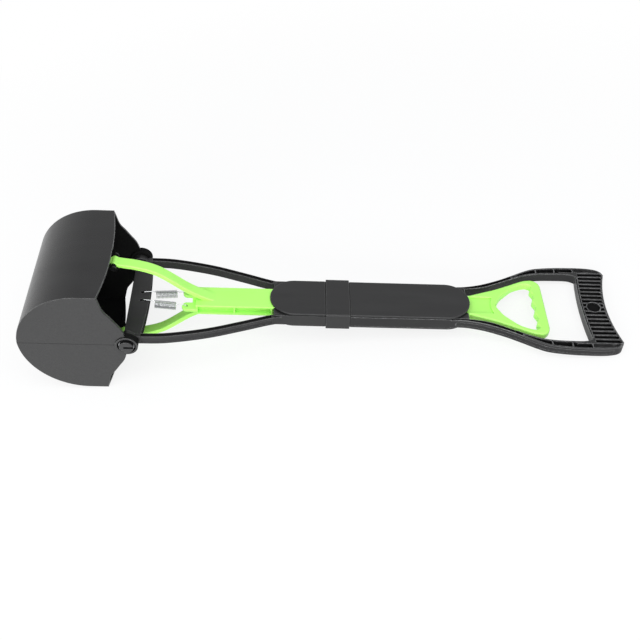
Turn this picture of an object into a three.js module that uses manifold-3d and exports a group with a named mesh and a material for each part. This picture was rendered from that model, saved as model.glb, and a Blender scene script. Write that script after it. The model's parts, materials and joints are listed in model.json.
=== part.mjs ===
// Pooper scooper: two clamshell jaws on a long handle, opened by a pull trigger inside the grip.
// Lengths are in millimetres. While it is drawn, the origin is on the hinge axis of the jaws,
// +X runs along the handle to the grip, +Y across it and +Z up through the upper jaw.
// At the end the tool is laid down on the lip of its lower jaw and on its grip.
import * as THREE from "three";
import { mergeVertices } from "three/addons/utils/BufferGeometryUtils.js";
import Module from "manifold-3d";

// Gaps and cutting
const gap = 0.3; // between two pieces that rest on each other
const runningGap = 0.6; // between pieces that slide past each other
const overrun = 2; // how far a cutting tool passes the face it cuts
const weldDistance = 0.0005;

// Jaws
const jawRadius = 64.6; // outside of the curved wall
const jawCentreX = -41.6;
const jawCentreDrop = 3.1; // the arc's centre lies past the parting plane
const jawHalfWidth = 66;
const jawWall = 2.2;
const endPlate = 2.5;
const lipCornerX = -23.5;
const lipBow = 6.5; // the lip's middle stands this far nearer the handle
const lipNotchDepth = 2.2;
const rearEdgeShares = [
  [1, 1],
  [0.94, 0.914],
  [0.81, 0.724],
  [0.59, 0.6],
  [0.37, 0.468],
  [0.17, 0.348],
  [0.06, 0.224],
  [0, 0.12],
]; // of the lip corner's distance and height

// Hinge at each side
const hubRadius = 11.2;
const hubRim = 2.2;
const hubRimHeight = 2.2;
const hubWellDepth = 1.4; // below the face of the end plate
const earThickness = 2.9;
const earReach = 19; // how far the lower jaw's thick ear runs onto its plate
const sleeveRadius = 4.6; // the frame's moulded axle, on which both jaws turn
const washerRadius = 7.6;
const washerThickness = 1;
const pivotScrewRadius = 1.9;
const pivotScrewLength = 13;
const pivotHeadRadius = 4.4;
const pivotHeadHeight = 1.3;
const capThickness = 1.6;
const capSkirt = 0.9;
const capSkirtHeight = 1.2;
const capGroove = 1.1;
const capGrooveDepth = 0.7;

// Link from each arm to its jaw: a pin through the arm's eye slides in slots of the jaw's lugs
const linkPinX = -15.5;
const linkPinDrop = 11.9; // under the top of the jaw
const linkPinRadius = 1.6;
const linkPinHeadRadius = 2.9;
const linkPinHeadHeight = 1.5;
const linkPinEnd = 2.1; // the plain end stands this far past the lug
const clipThickness = 1;
const clipRadius = 3.1;
const lugThickness = 2.4;
const lugWall = 1.8; // round the slot that the pin slides in
const lugSlotPlay = 0.5;
const lugSlotIn = 2.7; // towards the hinge, because the pin moves straight and the lug round
const lugSlotOut = 1.7;
const lugFootShort = 0.5; // the lug's foot starts this far behind the lip
const lugFootLong = 17;

// Fork of the frame
const railLength = 152;
const railWidth = 5.6;
const railHalfHeight = 4.8;
const railInset = 0.9; // from the boss's face back to the rail's outer face
const railShares = [
  [0, 1],
  [0.07, 1],
  [0.25, 0.96],
  [0.5, 0.73],
  [0.72, 0.41],
  [0.9, 0.12],
  [1, 0],
]; // along the rail, and of its spread
const railBossRadius = 8;
const crossbarBack = 3.8;
const crossbarFront = 12.6;
const crossbarBow = 3.2;
const crossbarHalfHeight = 4;
const crossbarSkin = 2.2;

// Body that the slider runs in
const bodyHalfWidth = 25.5;
const bodyWall = 3.1;
const wallHalfHeight = 6.3;
const spliceX = 207; // where the front half meets the rear half
const spliceLap = 8;
const bodyEndX = 322; // where the side walls end and the grip's sides begin
const coverHalfWidth = 25;
const coverThickness = 2;
const coverLead = 14.1; // the covers start this far before the rails' end
const coverRearX = 343;
const bandLength = 24;
const bandWall = 1.2;
const guideRib = 2.4;
const guideRibFirst = 8; // past the rails' end
const guideRibPlaces = [188, 228, 262, 286, 316];

// Cover screws
const screwFirst = 20; // past the rails' end
const screwMiddleX = 242;
const screwLastX = 306;
const bossRadius = 3.2;
const bossMiddle = 18.4; // across the body, from its middle line
const eyeHalfLength = 5;
const eyeHalfHeight = 1.6;
const screwRadius = 1.25;
const screwLength = 9.8;
const screwHeadRadius = 2.6;
const screwHeadHeight = 1.4;
const screwSlotWidth = 0.8;
const screwSlotDepth = 0.7;
const screwSlotShare = 0.7; // of the head that the slots reach across

// D grip
const gripReach = 493.3; // from the hinge axis to the grip's outer corners
const gripHalfHeight = 5.25;
const gripFlare = 35; // how far the sides stand out past the body
const gripOuterShares = [
  [0, 0],
  [0.09, 0],
  [0.2, 0.11],
  [0.32, 0.335],
  [0.41, 0.555],
  [0.5, 0.785],
  [0.57, 0.91],
  [0.7, 0.985],
  [0.86, 1],
  [0.945, 0.95],
  [0.985, 0.85],
  [1, 0.7],
];
const gripInnerFlare = 27.1;
const gripInnerShares = [
  [0, 0],
  [0.095, 0.02],
  [0.235, 0.17],
  [0.375, 0.54],
  [0.49, 0.834],
  [0.58, 0.963],
  [0.695, 1],
  [0.78, 0.985],
  [0.82, 0.87],
];
const gripOuterBow = 7.6;
const gripInnerBow = 2.7;
const gripRim = 2.4;
const gripRibs = 19;
const gripRibPitch = 5.8;
const gripRib = 1.6;
const gripFloor = 2; // full thickness of the web between the upper and lower pockets
const gripDiscInset = 20.3; // from the grip's reach back to the disc's middle
const gripDiscRadius = 7.2;
const gripDiscRim = 1.2;
const gripDiscDepth = 1.2;
const sideRibPitch = 20;
const sidePocketStartShare = 0.438; // of the way from the body's end to the grip's reach
const sidePocketEndShare = 0.782;
const sidePocketRim = 2.3;

// Slider with its trigger and its two arms
const pullTravel = 35; // of the trigger, from the stop to fully open
const barHalfWidth = 14;
const barHalfHeight = 6;
const barFlange = 2;
const barWeb = 5;
const barStartX = 66;
const barRib = 2;
const barRibPitch = 37;
const barRibStartX = 100;
const rootBlockLength = 13;
const triggerStartX = 343.8;
const triggerRearX = 422;
const triggerHalfHeight = 4.3;
const triggerHalfWidth = 40;
const triggerShares = [
  [0, 0],
  [0.164, 0.18],
  [0.352, 0.385],
  [0.545, 0.646],
  [0.742, 0.925],
  [0.84, 1],
  [0.92, 0.985],
  [0.981, 0.815],
  [1, 0.62],
];
const fingerHoleApexX = 371;
const fingerHoleEndX = 411.4;
const fingerHoleHalfWidth = 33.5;
const fingerHoleShares = [
  [0, 0.05],
  [0.07, 0.22],
  [0.16, 0.41],
  [0.27, 0.55],
  [0.5, 0.815],
  [0.72, 0.95],
  [0.88, 1],
  [0.97, 0.97],
];
const fingerHoleCornerShare = 0.88;
const fingerScallops = 4;
const fingerScallopPitch = 9.3;
const fingerScallopRadius = 5.2;
const fingerScallopDepth = 2;
const neckPocketLength = 40;
const neckPocketHalfWidth = 9;
const neckPocketDepth = 1;
const neckPocketEndX = 366;
const armHalfWidth = 6;
const armThickness = 4;
const armRootThickness = 5.6;
const armRootX = 82;
const armRootZ = 3.2;
const armShares = [
  [0, 0],
  [0.345, 0.155],
  [0.496, 0.32],
  [0.692, 0.645],
  [0.793, 0.79],
  [0.92, 0.94],
  [1, 1],
]; // from the eye back to the bar, and from the eye's height down to the bar's
const armTipDrop = 0.8; // the arm's middle line meets the eye this far under the pin
const eyeWall = 1.9;
const eyeCornerRadius = 4.2;

// Springs between the crossbar and the slider's ears
const springWire = 0.85;
const springRadius = 3.8; // to the middle of the wire
const springTurns = 16;
const springPitch = 1.36;
const springStepsPerTurn = 8;
const springSides = 5;
const springLead = 12.2; // from the crossbar's hole to the first turn
const springHookX = 8.8;
const springHookY = 5.8;
const springHookDrop = 3.6;
const springHoleRadius = 1.3;
const springBend = 1.2;
const earX = 54;
const earY = 10;
const earRadius = 5.4;
const earHeight = 2.3;

// Fineness of the round shapes
const jawArcSteps = 20;
const bowSteps = 10;
const circleSteps = 20;
const hardwareSteps = 14;
const smallCircleSteps = 10;
const splineSteps = 22;
const cornerSteps = 6;

// Places that follow from the sizes above
const jawTop = jawRadius - jawCentreDrop;
const linkPinZ = jawTop - linkPinDrop;
const pinRadiusFromHinge = Math.hypot(linkPinX, linkPinZ);
const plateInner = jawHalfWidth - endPlate;
const upperEarInner = plateInner - gap;
const lowerEarOuter = upperEarInner - gap;
const lowerEarInner = lowerEarOuter - earThickness;
const railBossFace = lowerEarInner - gap;
const railOuterHalf = railBossFace - railInset;
const wellFloor = jawHalfWidth - hubWellDepth;
const sleeveEnd = wellFloor + gap;
const wallInner = bodyHalfWidth - bodyWall;
const coverFrontX = railLength - coverLead;
const guideRibs = [railLength + guideRibFirst, ...guideRibPlaces];
const screwPlaces = [railLength + screwFirst, screwMiddleX, screwLastX];
const coverInner = wallHalfHeight + gap;
const coverOuter = coverInner + coverThickness;
const bossMeet = eyeHalfHeight + gap;
const channelHalf = barHalfWidth + runningGap;
const gripDiscX = gripReach - gripDiscInset;
const gripLength = gripReach - bodyEndX;
const sidePocketStartX = bodyEndX + gripLength * sidePocketStartShare;
const sidePocketEndX = bodyEndX + gripLength * sidePocketEndShare;
const lugInner = armHalfWidth + runningGap;
const lugOuter = lugInner + lugThickness;

const blackShell = { color: 0x3f3f40, roughness: 0.3, metalness: 0 };
const blackFrame = { color: 0x454546, roughness: 0.42, metalness: 0 };
const limePlastic = { color: 0x9be860, roughness: 0.35, metalness: 0 };
const steel = { color: 0xb9bcc0, roughness: 0.28, metalness: 1 };

const wasm = await Module();
wasm.setup();

// A closed geometry as a solid that can be joined and cut
function solid(geometry) {
  const bare = geometry.clone();
  bare.deleteAttribute("normal");
  bare.deleteAttribute("uv");
  const merged = mergeVertices(bare, weldDistance);
  return new wasm.Manifold(
    new wasm.Mesh({
      numProp: 3,
      vertProperties: merged.attributes.position.array,
      triVerts: new Uint32Array(merged.index.array),
    }),
  );
}

function geometryOf(body) {
  const faces = body.getMesh();
  const geometry = new THREE.BufferGeometry();
  geometry.setAttribute("position", new THREE.BufferAttribute(faces.vertProperties, 3));
  geometry.setIndex(new THREE.BufferAttribute(faces.triVerts, 1));
  const faceted = geometry.toNonIndexed();
  faceted.computeVertexNormals();
  return faceted;
}

function join(bodies) {
  return bodies.reduce((sum, body) => sum.add(body));
}

function cut(body, tools) {
  return tools.reduce((rest, tool) => rest.subtract(tool), body);
}

function outline(points) {
  return new THREE.Shape(points.map(([a, b]) => new THREE.Vector2(a, b)));
}

function drawn(points, depth) {
  return new THREE.ExtrudeGeometry(outline(points), { depth, bevelEnabled: false });
}

// An outline in X and Y, drawn up along Z
function upright(points, bottom, top) {
  return solid(drawn(points, top - bottom).translate(0, 0, bottom));
}

// An outline in X and Z, drawn across along Y
function across(points, from, to) {
  return solid(drawn(points, to - from).rotateX(Math.PI / 2).translate(0, to, 0));
}

// An outline in Y and Z, drawn along X
function lengthwise(points, from, to) {
  const turn = new THREE.Matrix4().makeBasis(
    new THREE.Vector3(0, 1, 0),
    new THREE.Vector3(0, 0, 1),
    new THREE.Vector3(1, 0, 0),
  );
  return solid(drawn(points, to - from).applyMatrix4(turn).translate(from, 0, 0));
}

function box(x0, x1, y0, y1, z0, z1) {
  return upright(rectangle(x0, x1, y0, y1), z0, z1);
}

function rectangle(a0, a1, b0, b1) {
  return [
    [a0, b0],
    [a1, b0],
    [a1, b1],
    [a0, b1],
  ];
}

function arc(a, b, radius, start, end, steps) {
  const points = [];
  for (let i = 0; i <= steps; i++) {
    const angle = start + ((end - start) * i) / steps;
    points.push([a + radius * Math.cos(angle), b + radius * Math.sin(angle)]);
  }
  return points;
}

function circle(a, b, radius, steps) {
  return arc(a, b, radius, 0, Math.PI * 2, steps).slice(1);
}

function roundedRectangle(halfA, halfB, radius) {
  const points = [];
  for (const [signA, signB, start] of [
    [1, 1, 0],
    [-1, 1, Math.PI / 2],
    [-1, -1, Math.PI],
    [1, -1, (Math.PI * 3) / 2],
  ])
    points.push(
      ...arc(
        signA * (halfA - radius),
        signB * (halfB - radius),
        radius,
        start,
        start + Math.PI / 2,
        cornerSteps,
      ),
    );
  return points;
}

// A round bar along Y
function rod(x, z, radius, from, to, steps) {
  return across(circle(x, z, radius, steps), Math.min(from, to), Math.max(from, to));
}

// A round bar along Z
function post(x, y, radius, bottom, top, steps) {
  return upright(circle(x, y, radius, steps), bottom, top);
}

function smooth(points, steps) {
  const curve = new THREE.SplineCurve(points.map(([a, b]) => new THREE.Vector2(a, b)));
  return curve.getPoints(steps).map((point) => [point.x, point.y]);
}

// The same line moved sideways by a distance that may change along it
function offset(points, distanceAt) {
  return points.map(([a, b], i) => {
    const [a0, b0] = points[Math.max(i - 1, 0)];
    const [a1, b1] = points[Math.min(i + 1, points.length - 1)];
    const length = Math.hypot(a1 - a0, b1 - b0);
    const distance = distanceAt(i / (points.length - 1));
    return [a - ((b1 - b0) / length) * distance, b + ((a1 - a0) / length) * distance];
  });
}

function ribbon(points, widthAt) {
  const left = offset(points, (share) => widthAt(share) / 2);
  const right = offset(points, (share) => -widthAt(share) / 2);
  return [...left, ...right.reverse()];
}

function mirrored(points) {
  return points.map(([a, b]) => [a, -b]);
}

const tool = new THREE.Group();

function add(name, body, finish) {
  const material = new THREE.MeshStandardMaterial(finish);
  const mesh = new THREE.Mesh(geometryOf(body), material);
  mesh.name = name;
  tool.add(mesh);
}

// Jaws. Side is 1 for the upper jaw and -1 for the lower one
function jawArc(radius, side) {
  const reach = Math.sqrt(radius ** 2 - (gap / 2 + jawCentreDrop) ** 2);
  const start = Math.atan2(gap / 2 + jawCentreDrop, -reach);
  return arc(jawCentreX, -jawCentreDrop, radius, start, Math.PI / 2, jawArcSteps).map(
    ([x, z]) => [x, side * z],
  );
}

function curvedWall(side) {
  const farX = lipCornerX + lipBow + overrun;
  const section = [
    ...jawArc(jawRadius, side),
    [farX, side * jawTop],
    [farX, side * (jawTop - jawWall)],
    ...jawArc(jawRadius - jawWall, side).reverse(),
  ];
  const wall = across(section, -jawHalfWidth, jawHalfWidth);
  const lip = [];
  for (let i = 0; i <= bowSteps; i++) {
    const share = (2 * i) / bowSteps - 1;
    lip.push([lipCornerX + lipBow * (1 - share ** 2), share * jawHalfWidth]);
  }
  const beyond = [
    ...lip,
    [farX + overrun, jawHalfWidth + overrun],
    [farX + overrun, -jawHalfWidth - overrun],
  ];
  const lipMiddle = lipCornerX + lipBow;
  const notch = box(
    lipMiddle - lipNotchDepth,
    lipMiddle + overrun,
    -lugInner,
    lugInner,
    -jawRadius,
    jawRadius,
  );
  return cut(wall, [upright(beyond, -jawRadius, jawRadius), notch]);
}

function plateOutline(side) {
  const rear = smooth(
    rearEdgeShares.map(([x, z]) => [lipCornerX * x, side * jawTop * z]),
    splineSteps,
  );
  return [...jawArc(jawRadius, side), ...rear, [0, (side * gap) / 2]];
}

// A place at a distance from the link pin, measured away from the hinge
function fromPin(distance) {
  const share = distance / pinRadiusFromHinge;
  return [linkPinX * (1 + share), linkPinZ * (1 + share)];
}

function slotOutline(radius, side) {
  const direction = Math.atan2(linkPinZ, linkPinX);
  const outward = arc(
    ...fromPin(lugSlotOut),
    radius,
    direction - Math.PI / 2,
    direction + Math.PI / 2,
    hardwareSteps / 2,
  );
  const inward = arc(
    ...fromPin(-lugSlotIn),
    radius,
    direction + Math.PI / 2,
    direction + (Math.PI * 3) / 2,
    hardwareSteps / 2,
  );
  return [...outward, ...inward].map(([x, z]) => [x, side * z]);
}

function lug(side) {
  const wallUnder = jawTop - jawWall / 2;
  const footEnd = lipCornerX + lipBow - lugFootShort;
  const radius = linkPinRadius + lugSlotPlay + lugWall;
  const tip = arc(...fromPin(-lugSlotIn), radius, Math.PI / 6, (-Math.PI * 3) / 4, hardwareSteps);
  const points = [[footEnd - lugFootLong, wallUnder], [footEnd, wallUnder], ...tip];
  const flipped = points.map(([x, z]) => [x, side * z]);
  return join([-1, 1].map((end) => across(flipped, ...between(end, lugInner, lugOuter))));
}

function between(end, inner, outer) {
  return end > 0 ? [inner, outer] : [-outer, -inner];
}

function jaw(side) {
  let body = curvedWall(side).add(lug(side));
  for (const end of [-1, 1]) {
    body = body.add(across(plateOutline(side), ...between(end, plateInner, jawHalfWidth)));
    body = side > 0 ? outerEar(body, end) : innerEar(body, end);
  }
  const slot = slotOutline(linkPinRadius + lugSlotPlay, side);
  return body.subtract(across(slot, -lugOuter - overrun, lugOuter + overrun));
}

// The upper jaw's ear lies outside the lower one and carries a raised rim round the cap
function outerEar(body, end) {
  const top = jawHalfWidth + hubRimHeight;
  const disc = rod(0, 0, hubRadius, ...between(end, upperEarInner, jawHalfWidth), circleSteps);
  const rim = rod(0, 0, hubRadius, ...between(end, jawHalfWidth - gap, top), circleSteps);
  const well = rod(
    0,
    0,
    hubRadius - hubRim,
    ...between(end, wellFloor, top + overrun),
    circleSteps,
  );
  const bore = rod(
    0,
    0,
    sleeveRadius + gap,
    ...between(end, upperEarInner - overrun, top + overrun),
    circleSteps,
  );
  return cut(join([body, disc, rim]), [well, bore]);
}

// The lower jaw's ear steps inwards under the upper one
function innerEar(body, end) {
  const disc = rod(0, 0, hubRadius, ...between(end, lowerEarInner, lowerEarOuter), circleSteps);
  const pad = across(plateOutline(-1), ...between(end, lowerEarInner, plateInner + gap)).intersect(
    rod(0, 0, earReach, ...between(end, lowerEarInner, jawHalfWidth), circleSteps),
  );
  const clear = rod(
    0,
    0,
    hubRadius + gap,
    ...between(end, lowerEarOuter, jawHalfWidth + overrun),
    circleSteps,
  );
  const bore = rod(
    0,
    0,
    sleeveRadius + gap,
    ...between(end, lowerEarInner - overrun, jawHalfWidth),
    circleSteps,
  );
  return cut(join([body.subtract(clear), disc, pad.subtract(clear)]), [bore]);
}

add("upper_jaw", jaw(1), blackShell);
add("lower_jaw", jaw(-1), blackShell);

// Link pins, each with a head at one end and a push-on clip at the other
function linkPin(side) {
  const z = side * linkPinZ;
  const seat = -lugOuter - gap;
  const head = rod(linkPinX, z, linkPinHeadRadius, seat - linkPinHeadHeight, seat, hardwareSteps);
  return head.add(
    rod(linkPinX, z, linkPinRadius, seat - gap, lugOuter + linkPinEnd, hardwareSteps),
  );
}

function linkClip(side) {
  const z = side * linkPinZ;
  const inner = lugOuter + gap;
  return rod(linkPinX, z, clipRadius, inner, inner + clipThickness, hardwareSteps).subtract(
    rod(linkPinX, z, linkPinRadius + gap, 0, inner + clipThickness + overrun, hardwareSteps),
  );
}

for (const [place, side] of [
  ["upper", 1],
  ["lower", -1],
]) {
  add(place + "_link_pin", linkPin(side), steel);
  add(place + "_link_clip", linkClip(side), steel);
}

// Frame. End is 1 for the far rail and -1 for the near one
function rail(end) {
  const outer = smooth(
    railShares.map(([x, y]) => [
      railLength * x,
      bodyHalfWidth + (railOuterHalf - bodyHalfWidth) * y,
    ]),
    splineSteps,
  );
  const inner = offset(outer, () => -railWidth);
  const points = [...outer, ...inner.reverse()];
  return upright(end > 0 ? points : mirrored(points), -railHalfHeight, railHalfHeight);
}

function railBoss(end) {
  const inner = railOuterHalf - railWidth;
  const block = rod(0, 0, railBossRadius, ...between(end, inner, railBossFace), circleSteps);
  return block.add(rod(0, 0, sleeveRadius, ...between(end, inner, sleeveEnd), circleSteps));
}

function pivotBore(end) {
  const depth = pivotScrewLength + overrun;
  return rod(
    0,
    0,
    pivotScrewRadius + gap,
    ...between(end, sleeveEnd - depth, sleeveEnd + overrun),
    circleSteps,
  );
}

function crossbar() {
  const reach = railOuterHalf - railWidth / 2;
  const front = [];
  for (let i = 0; i <= bowSteps; i++) {
    const share = (2 * i) / bowSteps - 1;
    front.push([crossbarFront + crossbarBow * (1 - share ** 2), share * reach]);
  }
  const plan = [...front, [-crossbarBack, reach], [-crossbarBack, -reach]];
  const hollow = [
    ...front.map(([x, y]) => [x - crossbarSkin, y * (1 - railWidth / reach)]),
    [-crossbarBack + crossbarSkin, reach - railWidth],
    [-crossbarBack + crossbarSkin, -reach + railWidth],
  ];
  const top = crossbarHalfHeight - crossbarSkin;
  return cut(upright(plan, -crossbarHalfHeight, crossbarHalfHeight), [
    upright(hollow, -crossbarHalfHeight - overrun, top),
  ]);
}

function sideWall(end, from, to) {
  const [y0, y1] = between(end, wallInner, bodyHalfWidth);
  return box(from, to, y0, y1, -wallHalfHeight, wallHalfHeight);
}

// Half the wall's thickness, so that the two halves of the frame overlap under the band
function lap(end, from, to, outside) {
  const middle = (wallInner + bodyHalfWidth) / 2;
  const faces = outside ? [middle + gap / 2, bodyHalfWidth] : [wallInner, middle - gap / 2];
  const [y0, y1] = between(end, ...faces);
  return box(from, to, y0, y1, -wallHalfHeight, wallHalfHeight);
}

function guide(end, x) {
  const [y0, y1] = between(end, channelHalf, wallInner + bodyWall / 2);
  return box(x - guideRib / 2, x + guideRib / 2, y0, y1, -wallHalfHeight, wallHalfHeight);
}

function screwEye(end, x) {
  const [y0, y1] = between(end, channelHalf, wallInner + bodyWall / 2);
  return box(x - eyeHalfLength, x + eyeHalfLength, y0, y1, -eyeHalfHeight, eyeHalfHeight);
}

function eyeHole(end, x) {
  const top = eyeHalfHeight + overrun;
  return post(x, end * bossMiddle, bossRadius + gap, -top, top, hardwareSteps);
}

function springHole(end) {
  const top = crossbarHalfHeight + overrun;
  return post(springHookX, end * springHookY, springHoleRadius, -top, top, smallCircleSteps);
}

function forkFrame() {
  const bodies = [crossbar()];
  const tools = [];
  const wallStart = railLength - railWidth;
  for (const end of [-1, 1]) {
    bodies.push(rail(end), railBoss(end));
    bodies.push(sideWall(end, wallStart, spliceX - spliceLap));
    bodies.push(lap(end, spliceX - spliceLap, spliceX + spliceLap - gap, false));
    guideRibs.filter((x) => x < spliceX).forEach((x) => bodies.push(guide(end, x)));
    for (const x of screwPlaces.filter((place) => place < spliceX)) {
      bodies.push(screwEye(end, x));
      tools.push(eyeHole(end, x));
    }
    tools.push(pivotBore(end), springHole(end));
  }
  return cut(join(bodies), tools);
}

function gripSide(shares, foot, flare) {
  return smooth(
    shares.map(([x, y]) => [bodyEndX + gripLength * x, foot + flare * y]),
    splineSteps,
  );
}

const gripOuter = gripSide(gripOuterShares, bodyHalfWidth, gripFlare);
const gripInner = gripSide(gripInnerShares, wallInner, gripInnerFlare);

// The grip's two long edges, which bow towards the jaws
function bowed(corner, bow, y) {
  const [cornerX, cornerY] = corner;
  return cornerX - bow * (1 - Math.min(1, Math.abs(y / cornerY)) ** 2);
}

function bowedEdge(corner, bow) {
  const points = [];
  for (let i = 1; i < bowSteps; i++) {
    const y = corner[1] * (1 - (2 * i) / bowSteps);
    points.push([bowed(corner, bow, y), y]);
  }
  return points;
}

const outerCorner = gripOuter[gripOuter.length - 1];
const innerCorner = gripInner[gripInner.length - 1];

function gripLoop() {
  const points = [
    ...gripOuter,
    ...bowedEdge(outerCorner, gripOuterBow),
    ...mirrored(gripOuter).reverse(),
    ...mirrored(gripInner),
    ...bowedEdge(innerCorner, gripInnerBow).reverse(),
    ...[...gripInner].reverse(),
  ];
  return upright(points, -gripHalfHeight, gripHalfHeight);
}

// Pockets are cut from above and below and leave a web between them
function pocket(points, depthEnd) {
  const [z0, z1] = between(depthEnd, gripFloor / 2, gripHalfHeight + overrun);
  return upright(points, z0, z1);
}

function gripPockets(depthEnd) {
  const pockets = [];
  const width = gripRibPitch - gripRib;
  for (let i = 0; i < gripRibs - 1; i++) {
    const y = (i - (gripRibs - 2) / 2) * gripRibPitch;
    const x0 = bowed(innerCorner, gripInnerBow, y) + gripRim;
    const x1 = bowed(outerCorner, gripOuterBow, Math.abs(y) + width / 2) - gripRim;
    pockets.push(pocket(rectangle(x0, x1, y - width / 2, y + width / 2), depthEnd));
  }
  const discEdge = gripDiscRadius + gripDiscRim;
  const height = gripHalfHeight + overrun + gap;
  const disc = post(gripDiscX, 0, discEdge, -height, height, circleSteps);
  return join(pockets).subtract(disc);
}

function discWell(depthEnd) {
  const [z0, z1] = between(depthEnd, gripHalfHeight - gripDiscDepth, gripHalfHeight + overrun);
  return post(gripDiscX, 0, gripDiscRadius, z0, z1, circleSteps);
}

// Height of an outline above its base line at one place
function readOff(points, x) {
  const next = points.findIndex(([px]) => px >= x);
  const [x0, y0] = points[next - 1];
  const [x1, y1] = points[next];
  return y0 + ((y1 - y0) * (x - x0)) / (x1 - x0);
}

// The channels in the grip's two sides, crossed by small ribs
function sidePockets(end, depthEnd) {
  const pockets = [];
  for (let x0 = sidePocketStartX; x0 < sidePocketEndX - gripRim; x0 += sideRibPitch) {
    const x1 = Math.min(x0 + sideRibPitch - gripRib, sidePocketEndX);
    const middle = (x0 + x1) / 2;
    const places = [x0, middle, x1];
    const outer = places.map((x) => [x, readOff(gripOuter, x) - sidePocketRim]);
    const inner = places.map((x) => [x, readOff(gripInner, x) + sidePocketRim]);
    const points = [...outer, ...inner.reverse()];
    pockets.push(pocket(end > 0 ? points : mirrored(points), depthEnd));
  }
  return join(pockets);
}

function handleFrame() {
  const bodies = [gripLoop()];
  const tools = [];
  for (const end of [-1, 1]) {
    bodies.push(sideWall(end, spliceX + spliceLap, bodyEndX));
    bodies.push(lap(end, spliceX - spliceLap + gap, spliceX + spliceLap, true));
    guideRibs.filter((x) => x > spliceX).forEach((x) => bodies.push(guide(end, x)));
    for (const x of screwPlaces.filter((place) => place > spliceX)) {
      bodies.push(screwEye(end, x));
      tools.push(eyeHole(end, x));
    }
    tools.push(gripPockets(end), discWell(end), sidePockets(1, end), sidePockets(-1, end));
  }
  return cut(join(bodies), tools);
}

add("fork_frame", forkFrame(), blackFrame);
add("handle_frame", handleFrame(), blackFrame);

// Covers of the body, a pair in front of the splice and a pair behind it
function coverOutline(front) {
  if (front) {
    const end = arc(
      coverFrontX + coverHalfWidth,
      0,
      coverHalfWidth,
      Math.PI / 2,
      (Math.PI * 3) / 2,
      circleSteps,
    );
    return [...end, [spliceX - gap / 2, -coverHalfWidth], [spliceX - gap / 2, coverHalfWidth]];
  }
  const end = arc(
    coverRearX - coverHalfWidth,
    0,
    coverHalfWidth,
    -Math.PI / 2,
    Math.PI / 2,
    circleSteps,
  );
  return [...end, [spliceX + gap / 2, coverHalfWidth], [spliceX + gap / 2, -coverHalfWidth]];
}

function placesOf(front) {
  return screwPlaces.filter((x) => x < spliceX === front);
}

function topCover(front) {
  let body = upright(coverOutline(front), coverInner, coverOuter);
  for (const x of placesOf(front))
    for (const end of [-1, 1]) {
      const y = end * bossMiddle;
      const boss = post(x, y, bossRadius, -bossMeet + gap, coverOuter - gap, hardwareSteps);
      const pilotTop = screwLength - coverInner + overrun - gap;
      const pilot = post(x, y, screwRadius + gap, -coverOuter, pilotTop, smallCircleSteps);
      body = body.add(boss).subtract(pilot);
    }
  return body;
}

function bottomCover(front) {
  let body = upright(coverOutline(front), -coverOuter, -coverInner);
  for (const x of placesOf(front))
    for (const end of [-1, 1]) {
      const y = end * bossMiddle;
      const boss = post(x, y, bossRadius, -coverInner - gap, -bossMeet, hardwareSteps);
      const hole = post(x, y, screwRadius + gap, -coverOuter, 0, smallCircleSteps);
      const well = post(
        x,
        y,
        screwHeadRadius + gap,
        -coverOuter - overrun,
        -coverInner,
        hardwareSteps,
      );
      body = body.add(boss.subtract(hole)).subtract(well).subtract(hole);
    }
  return body;
}

function coverScrew(x, y) {
  const seat = -coverInner - gap;
  const tip = seat + screwLength;
  const headBottom = seat - screwHeadHeight;
  const head = post(x, y, screwHeadRadius, headBottom, seat, hardwareSteps);
  const shank = post(x, y, screwRadius, seat - gap, tip, smallCircleSteps);
  const slots = [
    [screwHeadRadius * screwSlotShare, screwSlotWidth / 2],
    [screwSlotWidth / 2, screwHeadRadius * screwSlotShare],
  ].map(([halfX, halfY]) =>
    box(x - halfX, x + halfX, y - halfY, y + halfY, headBottom - overrun, headBottom + screwSlotDepth),
  );
  return cut(head.add(shank), slots);
}

add("front_top_cover", topCover(true), blackShell);
add("rear_top_cover", topCover(false), blackShell);
add("front_bottom_cover", bottomCover(true), blackShell);
add("rear_bottom_cover", bottomCover(false), blackShell);

let screwNumber = 1;
for (const x of screwPlaces)
  for (const end of [-1, 1]) add("cover_screw_" + screwNumber++, coverScrew(x, end * bossMiddle), steel);

// Band that clamps the two halves together over the splice
function spliceBand() {
  const halfY = bodyHalfWidth + gap;
  const halfZ = coverOuter + gap;
  const outer = roundedRectangle(halfY + bandWall, halfZ + bandWall, bandWall * 2);
  const inner = roundedRectangle(halfY, halfZ, bandWall / 2);
  const from = spliceX - bandLength / 2;
  const to = spliceX + bandLength / 2;
  return lengthwise(outer, from, to).subtract(lengthwise(inner, from - overrun, to + overrun));
}

add("splice_band", spliceBand(), blackFrame);

// Hinge hardware: a screw and washer in the frame's sleeve, and a cap in the jaw's rim
function pivotWasher(end) {
  const from = sleeveEnd + gap;
  const disc = rod(0, 0, washerRadius, ...between(end, from, from + washerThickness), circleSteps);
  const hole = rod(
    0,
    0,
    pivotScrewRadius + gap,
    ...between(end, from - overrun, from + washerThickness + overrun),
    circleSteps,
  );
  return disc.subtract(hole);
}

const pivotHeadSeat = sleeveEnd + washerThickness + 2 * gap;

function pivotScrew(end) {
  const headTop = pivotHeadSeat + pivotHeadHeight;
  const head = rod(0, 0, pivotHeadRadius, ...between(end, pivotHeadSeat, headTop), circleSteps);
  const shankEnd = pivotHeadSeat - pivotScrewLength;
  const shank = rod(
    0,
    0,
    pivotScrewRadius,
    ...between(end, shankEnd, pivotHeadSeat + gap),
    circleSteps,
  );
  return head.add(shank);
}

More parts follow.
